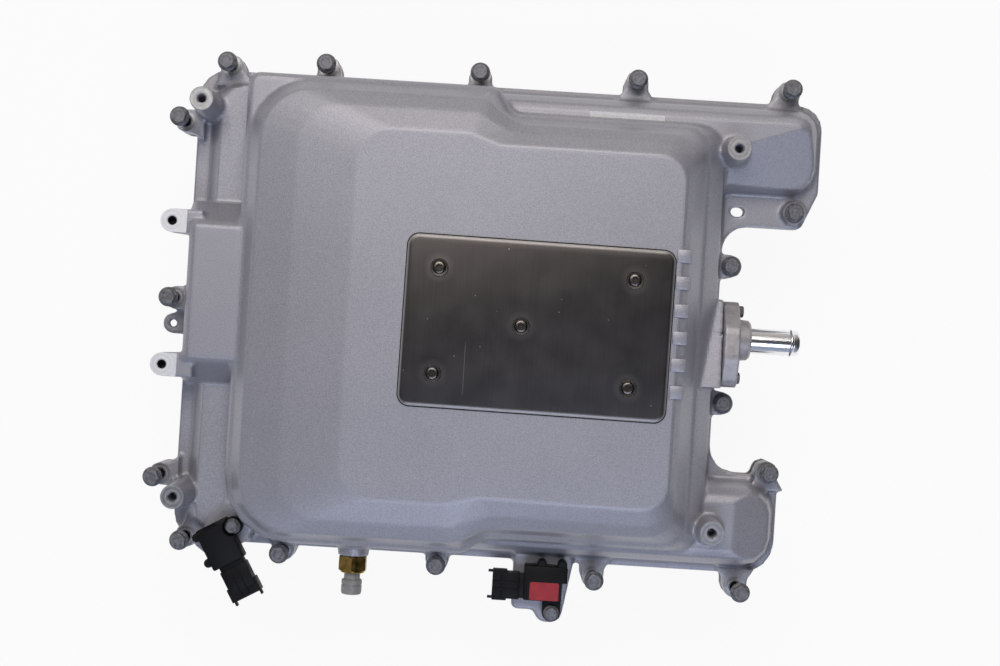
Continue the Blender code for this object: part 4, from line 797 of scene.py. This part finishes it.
# Painted shadow: a black sheet just larger than the plate, under it, drawn as the dark gap round the plate's
# edge.
rim = Vector((SHADOW_RIM, SHADOW_RIM, 0))
shadow_low = plate_low - rim - Vector((0, 0, SHADOW_BELOW))
shadow_high = Vector((plate_high.x, plate_high.y, plate_low.z + SHADOW_ABOVE)) + rim
edge_shadow_sheet = rounded_plate("plate_edge_shadow", shadow_low, shadow_high, PLATE_CORNER + SHADOW_RIM, 10)
edge_shadow_sheet.data.transform(plate_spin)
bpy.ops.object.shade_smooth_by_angle(angle=math.radians(40))
shadow_sheet_finish = mottled("black_painted_edge_shadow", "#0c0c0d", "#17171a", 0.0012, (0.75, 0.95), 0.3)
paint(edge_shadow_sheet, shadow_sheet_finish, "housing")


def button_screw():
    """Button head on a thin collar, with a hexagon socket, drawn on its seat at height zero."""
    profile = [(0, 0), (SCREW_FLANGE, 0), (SCREW_FLANGE, 0.00045), (SCREW_FLANGE - 0.0003, 0.0007)]
    profile += [(0.0046, 0.0006), (0.0043, 0.0010), (0.0041, 0.0020), (0.0037, 0.0026)]
    head = spun("button", [*profile, (0.0031, SCREW_HEIGHT), (0, SCREW_HEIGHT)], 40)
    bpy.ops.object.select_all(action="DESELECT")
    bpy.ops.mesh.primitive_cylinder_add(vertices=6, radius=SCREW_SOCKET, depth=0.004, location=(0, 0, 0.0026))
    socket = bpy.context.object
    bpy.ops.object.transform_apply()
    boolean(head, socket, "DIFFERENCE")
    return head


screw_master = button_screw()
screw_finish = polished_steel()
for n, (low, high) in enumerate(screw_boxes, 1):
    screw = bpy.data.objects.new(f"button_screw_{n}", screw_master.data.copy())
    bpy.context.scene.collection.objects.link(screw)
    seat = Vector(((low.x + high.x) / 2, (low.y + high.y) / 2, high.z - SCREW_HEIGHT))
    screw.data.transform(Matrix.Translation(seat) @ Matrix.Rotation(math.radians(SCREW_TURN * n), 4, "Z"))
    alone(screw)
    bpy.ops.object.shade_smooth_by_angle(angle=math.radians(35))
    paint(screw, screw_finish, "housing")
    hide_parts(f"trim_plate_screw_{n}")
bpy.data.objects.remove(screw_master)

# Coolant manifold: a small die-cast end plate bolted to the cover's boss, satin and pale grey.
# Two polished stainless hose tubes are pressed into it, each with a rolled bead near its end.
MANIFOLD_VOXEL = 0.0007
MANIFOLD_SOFTEN = 2
MANIFOLD_TRIANGLES = 90000
MANIFOLD_ALLOY = "#bdbabb"
MANIFOLD_SHADE = "#a3a0a1"
TUBE_BEAD = 0.0009
TUBE_BORE = 0.0066
TUBE_NOSE = 0.0068
TUBE_FIT = 0.0003
CHROME = "#f0f0f2"


def softened(node, name, voxel, rounds, triangles):
    """A piece with cast radii and smooth shading made from a CAD node's copy."""
    piece = plain_copy(node, name)
    cast_radii(piece, voxel, rounds, triangles)
    bpy.ops.object.shade_smooth()
    return piece


def polished_tube():
    """Polished stainless tube: a mirror with faint draw lines along it."""
    material, tree, shader = new_finish("polished_stainless_tube", Metallic=1.0)
    shader.inputs["Base Color"].default_value = linear(CHROME)
    place = add(tree, "ShaderNodeTexCoord")
    drawn = add(
        tree,
        "ShaderNodeMapping",
        {"Scale": (1 / 0.03, 1 / 0.0008, 1 / 0.0008)},
        Vector=place.outputs["Object"],
    )
    lines = add(tree, "ShaderNodeTexNoise", {"Scale": 1.0, "Detail": 2.0}, Vector=drawn.outputs["Vector"])
    rough = add(tree, "ShaderNodeMapRange", {"To Min": 0.12, "To Max": 0.24}, Value=lines.outputs["Fac"])
    tree.links.new(rough.outputs["Result"], shader.inputs["Roughness"])
    return material


manifold = softened(
    "coolant_manifold", "coolant_end_plate", MANIFOLD_VOXEL, MANIFOLD_SOFTEN, MANIFOLD_TRIANGLES
)
die_cast = mottled(
    "satin_die_cast_aluminium", MANIFOLD_SHADE, MANIFOLD_ALLOY, 0.004, (0.42, 0.55), 0.2, Metallic=0.6
)
paint(manifold, die_cast, "housing")
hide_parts("coolant_manifold")

# Hubs: the two round bosses of the die-cast end plate, turned smooth.
# A tube is pressed into each.
HUB_RADIUS = 0.0148
HUB_LONG = 0.0092
HUB_SEAT = 0.0008


def facing_x(piece, place):
    """Turns a piece drawn along +Z so that it points along +X from a place, and smooths its round sides."""
    piece.data.transform(Matrix.Translation(place) @ Matrix.Rotation(math.pi / 2, 4, "Y"))
    bpy.ops.object.shade_smooth_by_angle(angle=math.radians(35))


for level in ("upper", "lower"):
    low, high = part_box(f"coolant_tube_{level}")
    hole = (high.z - low.z) / 2 + TUBE_FIT
    profile = [
        (hole, 0), (HUB_RADIUS, 0), (HUB_RADIUS - 0.0006, HUB_LONG - 0.0016),
        (HUB_RADIUS - 0.0022, HUB_LONG),
    ]
    hub = spun(f"manifold_hub_{level}", [*profile, (hole, HUB_LONG), (hole, 0)], 64)
    middle = (low + high) / 2
    facing_x(hub, (low.x + HUB_SEAT, middle.y, middle.z))
    paint(hub, die_cast, "housing")

# Tubes: drawn stainless tube with a rolled bead for the hose clamp and a rounded mouth.
# Both are pressed into the hubs, one above the other.
BEAD_SHAPE = ((0.6, 0), (1, 0.3), (1, 0.5), (0.6, 0.8), (0.1, 1))
BEAD_LONG = 0.0024
tube_finish = polished_tube()
for level in ("upper", "lower"):
    low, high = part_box(f"coolant_tube_{level}")
    outer = (high.z - low.z) / 2 - TUBE_BEAD
    long = high.x - low.x
    nose = long - TUBE_NOSE
    profile = [(TUBE_BORE, 0), (outer, 0), (outer, nose)]
    profile += [(outer + TUBE_BEAD * s, nose + 0.0003 + BEAD_LONG * t) for s, t in BEAD_SHAPE]
    profile += [(outer, long - 0.0020), (outer - 0.0004, long - 0.0009), (outer - 0.0011, long)]
    profile += [(TUBE_BORE + 0.0003, long), (TUBE_BORE, long - 0.0006), (TUBE_BORE, 0)]
    tube = spun(f"hose_tube_{level}", profile, 64)
    middle = (low + high) / 2
    facing_x(tube, (low.x, middle.y, middle.z))
    paint(tube, tube_finish, "housing")
    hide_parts(f"coolant_tube_{level}")

for n in (1, 2):
    bolt(f"manifold_bolt_{n}", f"coolant_manifold_bolt_{n}", bolt_head, bolt_finishes, "X")

# Pressure sensors: two glass-filled nylon mouldings, each with a nozzle in the cover, one bolt, a plug
# shroud with latch prongs and raised posts. One carries a plain red label.
SENSOR_BODY = 0.0150
SENSOR_TAB = 0.0080
TAB_RADIUS = 0.0066
NYLON = "#0b0b0c"
NYLON_WORN = "#151516"
PRONG_LONG = 0.0032
PRONG_WIDE = 0.0021
# Place and turn of each sensor on the cover, in metres and degrees
BOOST_PLACE = (0.0610, -0.1845)
BOOST_TURN = 180
INLET_PLACE = (-0.1955, -0.1565)
INLET_TURN = -60


def pin(radius, low, high, x, y):
    """An upright round boss with a softened top."""
    soft = radius * 0.25
    piece = spun(
        "boss", [(0, low), (radius, low), (radius, high - soft), (radius - soft, high), (0, high)], 32
    )
    piece.data.transform(Matrix.Translation((x, y, 0)))
    return piece


def plug_sensor(name, body, plug, bolt, nozzle, posts, relief):
    """One sensor with its plug along +X, drawn at the origin with its seat at height zero."""
    long, wide = body
    plug_long, plug_wide, shift = plug
    side = 1 if bolt[1] > 0 else -1
    low, high = shift - plug_wide / 2, shift + plug_wide / 2
    end = long + plug_long
    top = SENSOR_BODY
    reach = sorted((side * (wide / 2 - 0.003), bolt[1]))
    sensor = moulding((0, -wide / 2, 0), (long, wide / 2, top), 0.0013)
    sensor.name = name
    solids = [
        moulding((long - 0.004, low + 0.0022, 0.002), (long + 0.004, high - 0.0022, top - 0.002)),
        moulding((long + 0.003, low + 0.0014, 0.001), (end - 0.006, high - 0.0014, top - 0.001)),
        moulding((end - 0.0105, low, 0.0016), (end, high, top - 0.0016)),
        moulding(
            (long + 0.003, shift - 0.0032, top - 0.0016), (end - 0.001, shift - 0.0020, top - 0.0004), 0.0003
        ),
        moulding(
            (long + 0.003, shift + 0.0020, top - 0.0016), (end - 0.001, shift + 0.0032, top - 0.0004), 0.0003
        ),
        moulding((bolt[0] - TAB_RADIUS, reach[0], 0), (bolt[0] + TAB_RADIUS, reach[1], SENSOR_TAB), 0.0004),
        pin(TAB_RADIUS, 0, SENSOR_TAB, *bolt),
        pin(0.0042, -0.009, 0.002, *nozzle),
    ]
    for edge in (low + 0.0006, high - 0.0006 - PRONG_WIDE):
        solids.append(
            moulding((end - 0.003, edge, 0.005), (end + PRONG_LONG, edge + PRONG_WIDE, top - 0.005), 0.0005)
        )
    for x, y, radius in posts:
        solids.append(pin(radius, 0.004, top - 0.0010, x, y))
        solids.append(moulding((x - radius, min(y, 0), 0.004), (x + radius, max(y, 0), top - 0.0010), 0.0006))
    for solid in solids:
        boolean(sensor, solid, "UNION")
    mouth = moulding((end - 0.012, low + 0.002, 0.003), (end + 0.004, high - 0.002, top - 0.003), 0.0004)
    boolean(sensor, mouth, "DIFFERENCE")
    boolean(sensor, pin(0.0032, -0.002, 0.010, *bolt), "DIFFERENCE")
    boolean(sensor, pin(0.0064, SENSOR_TAB, 0.022, *bolt), "DIFFERENCE")
    boolean(sensor, moulding((-0.002, *relief[0]), (*relief[1], top + 0.002), 0.0004), "DIFFERENCE")
    return sensor


def placed(piece, place, turn):
    """Sets a piece in its place, its object left at the origin, and smooths its moulded edges."""
    piece.data.transform(Matrix.Translation(place) @ Matrix.Rotation(math.radians(turn), 4, "Z"))
    alone(piece)
    bpy.ops.object.shade_smooth_by_angle(angle=math.radians(30))


nylon = mottled(
    "black_glass_filled_nylon", NYLON, NYLON_WORN, 0.0011, (0.42, 0.62), 0.15, Specular_IOR_Level=0.2
)
boost_seat = Vector((*BOOST_PLACE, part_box("boost_sensor")[1].z - SENSOR_BODY))
boost = plug_sensor(
    "boost_pressure_sensor",
    body=(0.031, 0.0250),
    plug=(0.0225, 0.0215, 0.0030),
    bolt=(0.010, 0.0215),
    nozzle=(0.021, -0.0065),
    posts=((0.0040, -0.0138, 0.0034), (0.0185, -0.0138, 0.0032)),
    relief=((-0.0010, -0.002), (0.0036, 0.0140)),
)
placed(boost, boost_seat, BOOST_TURN)
paint(boost, nylon, "housing")
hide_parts("boost_sensor")

inlet_seat = Vector((*INLET_PLACE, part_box("inlet_sensor")[1].z - SENSOR_BODY))
inlet = plug_sensor(
    "inlet_pressure_sensor",
    body=(0.031, 0.0240),
    plug=(0.0265, 0.0225, 0.0010),
    bolt=(0.0082, 0.0132),
    nozzle=(0.018, -0.002),
    posts=((0.0040, -0.0128, 0.0030), (0.0240, -0.0130, 0.0032)),
    relief=((-0.0140, 0.0115), (0.0022, 0.0040)),
)
placed(inlet, inlet_seat, INLET_TURN)
paint(inlet, nylon, "housing")
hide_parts("inlet_sensor")

# Label: a plain vinyl sticker with round corners, satin red.
# It is stuck on the boost sensor's top face.
LABEL_RED = "#b3222b"
LABEL_CORNER = 0.0012
LABEL_LOW = Vector((-0.0266, -0.0118, SENSOR_BODY - 0.0001))
LABEL_HIGH = Vector((-0.0058, 0.0010, SENSOR_BODY + 0.00015))
label = rounded_plate("plain_red_label", boost_seat + LABEL_LOW, boost_seat + LABEL_HIGH, LABEL_CORNER, 4)
vinyl = mottled("satin_red_vinyl", "#9c1622", LABEL_RED, 0.006, (0.38, 0.48), 0.0)
paint(label, vinyl, "housing")

for sensor in ("boost", "inlet"):
    bolt(f"{sensor}_sensor_screw", f"{sensor}_sensor_bolt", bolt_head, bolt_finishes)
bpy.data.objects.remove(bolt_head)

# Temperature sensor: a brass hexagon body turned from bar and screwed into the cover's side wall,
# with a grey moulded nylon connector snapped into it.
BRASS_LIGHT = "#b08f4c"
BRASS_DARK = "#7d6430"
GREY_NYLON = "#9a9996"
GREY_SHADE = "#868582"
PROBE_WALL = -0.1729
PROBE_HALF_FLATS = 0.0095
PROBE_LONG = 0.0105
STEM_PITCH = 0.0015
STEM_TURNS = 11
STEM_START = -0.0010
STEM_END = -0.0215


def facing_down_y(piece, node):
    """Turns a piece drawn along +Z so that it points along -Y from a CAD node's seat."""
    low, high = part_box(node)
    middle = (low + high) / 2
    seat = Matrix.Translation((middle.x, PROBE_WALL, middle.z))
    piece.data.transform(seat @ Matrix.Rotation(math.pi / 2, 4, "X"))
    alone(piece)
    bpy.ops.object.shade_smooth_by_angle(angle=math.radians(30))


bpy.ops.object.select_all(action="DESELECT")
bpy.ops.mesh.primitive_cylinder_add(
    vertices=6,
    radius=PROBE_HALF_FLATS / math.cos(math.pi / 6),
    depth=PROBE_LONG,
    location=(0, 0, PROBE_LONG / 2),
)
brass = bpy.context.object
brass.name = "temperature_sensor_hexagon"
bpy.ops.object.transform_apply()
bar = [(0, 0), (0.0098, 0), (0.0110, 0.0012), (0.0110, 0.0093), (0.0098, PROBE_LONG), (0, PROBE_LONG)]
boolean(brass, spun("bar", bar, 64), "INTERSECT")
collar = [(0, 0.0100), (0.0086, 0.0100), (0.0086, 0.0114), (0.0082, 0.0119)]
collar += [(0.0064, 0.0119), (0.0064, 0.0109), (0, 0.0109)]
boolean(brass, spun("collar", collar, 48), "UNION")
stem = [(0, 0.0005), (0.0051, 0.0005), (0.0051, STEM_START)]
for turn in range(1, STEM_TURNS + 1):
    level = STEM_START - turn * STEM_PITCH
    stem += [(0.0044, level + STEM_PITCH / 2), (0.0051, level)]
boolean(brass, spun("stem", [*stem, (0.0046, STEM_END), (0, STEM_END)], 32), "UNION")
facing_down_y(brass, "temperature_sensor_body")
tarnished_brass = mottled(
    "turned_brass_bar", BRASS_DARK, BRASS_LIGHT, 0.004, (0.24, 0.42), 0.05, Metallic=1.0
)
paint(brass, tarnished_brass, "housing")
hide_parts("temperature_sensor_body")

shell = [
    (0, 0.0122), (0.0057, 0.0122), (0.0057, 0.0166), (0.0062, 0.0169), (0.0069, 0.0170), (0.0073, 0.0174),
]
shell += [
    (0.0073, 0.0202), (0.0069, 0.0205), (0.0069, 0.0210), (0.0073, 0.0213), (0.0073, 0.0255),
    (0.0068, 0.0272),
]
shell += [(0.0054, 0.0276), (0.0050, 0.0272), (0.0050, 0.0200), (0, 0.0200)]
plug = spun("temperature_sensor_plug", shell, 48)
for x in (-0.0045, 0.0045):
    key = moulding((x - 0.0012, -0.0072, 0.0172), (x + 0.0012, -0.0048, 0.0262), 0.0003)
    boolean(plug, key, "UNION")
facing_down_y(plug, "temperature_sensor_connector")
grey_nylon = mottled("grey_moulded_nylon", GREY_SHADE, GREY_NYLON, 0.003, (0.40, 0.50), 0.1, IOR=1.53)
paint(plug, grey_nylon, "housing")
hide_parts("temperature_sensor_connector")

# Sticker: a strip of plain coated white paper.
# It is stuck on the ledge above the crown's upper right edge.
STICKER_LOW = Vector((0.0560, 0.1492, 0.1680))
STICKER_HIGH = Vector((0.1095, 0.1540, 0.1683))
STICKER_CORNER = 0.0006
sticker = rounded_plate("plain_white_sticker", STICKER_LOW, STICKER_HIGH, STICKER_CORNER, 3)
label_paper = mottled("coated_white_paper", "#e2e2e5", "#f4f4f6", 0.002, (0.45, 0.55), 0.0)
paint(sticker, label_paper, "housing")

# Rotor case: a sand-cast aluminium body below the cover, left as cast, with machined joint faces.
# It holds the rotor tunnel and eight runners that end in two slanted head flanges.
CAST_LIGHT = "#8f8b86"
CAST_DARK = "#77736f"
CASE_VOXEL = 0.0017
CASE_TRIANGLES = 190000
CASTING_SOFTEN = 2


def dressed(material, *nodes):
    """Gives CAD nodes that stay as they are a finish of their own."""
    for node in nodes:
        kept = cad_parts[node]
        kept.data.materials.clear()
        kept.data.materials.append(material)


sand_cast = mottled("sand_cast_aluminium", CAST_DARK, CAST_LIGHT, 0.0016, (0.45, 0.62), 0.5, Metallic=0.7)
case = softened("rotor_case", "rotor_case_casting", CASE_VOXEL, CASTING_SOFTEN, CASE_TRIANGLES)
paint(case, sand_cast, "housing")
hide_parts("rotor_case")
faced = mottled("milled_aluminium_plate", "#a3a09c", "#b5b2ae", 0.012, (0.26, 0.36), 0.05, Metallic=0.9)
dressed(faced, "front_bearing_plate", "rear_bearing_plate")

# End castings: the drive end cover over the timing gears, and the throttle inlet with its bypass neck.
# Both are smaller aluminium castings with soft radii, bolted to the ends of the case.
CASTING_TRIANGLES = 120000
for node, name, voxel in (
    ("drive_end_cover", "drive_end_casting", 0.0011),
    ("inlet_housing", "throttle_inlet_casting", 0.0010),
    ("bypass_neck", "bypass_neck_casting", 0.0008),
):
    casting = softened(node, name, voxel, CASTING_SOFTEN, CASTING_TRIANGLES)
    paint(casting, sand_cast, "housing")
    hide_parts(node)

# Rotors and running gear: hard-coated aluminium rotors pressed on ground steel shafts, which turn in
# ball bearings and are timed by a pair of hardened spur gears.
hard_coat = mottled("hard_coated_rotor", "#4f5154", "#5d5f62", 0.003, (0.34, 0.46), 0.1, Metallic=0.6)
dressed(hard_coat, "drive_rotor", "driven_rotor")
ground_steel = mottled("ground_steel", "#8b8d90", "#9c9ea1", 0.002, (0.18, 0.30), 0.05, Metallic=1.0)
dressed(ground_steel, "drive_rotor_shaft", "driven_rotor_shaft", "drive_timing_gear", "driven_timing_gear")
dressed(
    ground_steel, "front_bearing_drive", "front_bearing_driven", "rear_bearing_drive", "rear_bearing_driven"
)
dressed(ground_steel, "snout_bearing", "bypass_valve_shaft")

# Drive pulley: turned from aluminium bar with four belt grooves and a dished web, black anodised.
# One flange bolt holds it on the drive shaft.
PULLEY_BORE = 0.0145
PULLEY_GROOVES = 4
PULLEY_PITCH = 0.00356
GROOVE_DEEP = 0.0033
CREST_DROP = 0.0015
low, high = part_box("drive_pulley")
wide = high.x - low.x
rim = (high.z - low.z) / 2
profile = [(PULLEY_BORE, wide), (0.0205, wide), (0.0210, wide - 0.0005), (0.0210, 0.0085), (0.0215, 0.0080)]
profile += [(0.0315, 0.0080), (0.0322, 0.0088), (0.0338, wide), (rim - 0.0006, wide), (rim, wide - 0.0006)]
level = (wide + PULLEY_GROOVES * PULLEY_PITCH) / 2
profile.append((rim, level))
for groove in range(PULLEY_GROOVES):
    crest = rim - (CREST_DROP if groove < PULLEY_GROOVES - 1 else 0)
    root = rim - GROOVE_DEEP
    profile += [(root, level - PULLEY_PITCH * 0.42), (root, level - PULLEY_PITCH * 0.58)]
    level -= PULLEY_PITCH
    profile.append((crest, level))
profile += [(rim, 0.0006), (rim - 0.0006, 0), (0.0342, 0), (0.0300, 0.0040)]
profile += [(PULLEY_BORE, 0.0040), (PULLEY_BORE, wide)]
pulley = spun("belt_pulley", profile, 96)
middle = (low + high) / 2
pulley.data.transform(Matrix.Translation((low.x, middle.y, middle.z)) @ Matrix.Rotation(math.pi / 2, 4, "Y"))
bpy.ops.object.shade_smooth_by_angle(angle=math.radians(30))
anodised = mottled("black_anodised_aluminium", "#1a1a1c", "#242427", 0.002, (0.28, 0.38), 0.05, Metallic=0.5)
paint(pulley, anodised, "drive_train")
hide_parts("drive_pulley")
dressed(bolt_finishes[0], "pulley_bolt", "bypass_actuator_rod")

# Charge cooler and gasket: a brazed aluminium core that fills the cover, finned between its tanks,
# and a moulded rubber gasket that follows the flange.
FIN_PITCH = 0.0012
brazed, tree, shader = new_finish("brazed_cooler_fins", Metallic=0.85, Roughness=0.4)
place = add(tree, "ShaderNodeTexCoord")
fins = add(
    tree,
    "ShaderNodeTexWave",
    {"bands_direction": "X", "Scale": 1 / (20 * FIN_PITCH), "Distortion": 0.6, "Detail": 1.0},
    Vector=place.outputs["Object"],
)
tone = add(
    tree,
    "ShaderNodeMix",
    {"data_type": "RGBA", 6: linear("#6f7073"), 7: linear("#b3b4b6")},
    Factor=fins.outputs["Fac"],
)
relief = add(tree, "ShaderNodeBump", {"Strength": 0.6, "Distance": 0.0006}, Height=fins.outputs["Fac"])
tree.links.new(tone.outputs[2], shader.inputs["Base Color"])
tree.links.new(relief.outputs["Normal"], shader.inputs["Normal"])
dressed(brazed, "intercooler_core")
dressed(mottled("moulded_gasket_rubber", "#1c1c1e", "#29292b", 0.001, (0.65, 0.85), 0.3), "cover_gasket")

# Bypass valve: a brass butterfly on a steel shaft, pulled by the rod of a small black vacuum can.
# The can is a two-piece nylon moulding that clips to the inlet casting.
dressed(tarnished_brass, "bypass_valve_disc")
CAN_VOXEL = 0.0006
CAN_TRIANGLES = 60000
can = softened("bypass_actuator", "vacuum_can", CAN_VOXEL, CASTING_SOFTEN, CAN_TRIANGLES)
paint(can, nylon, "housing")
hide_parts("bypass_actuator")
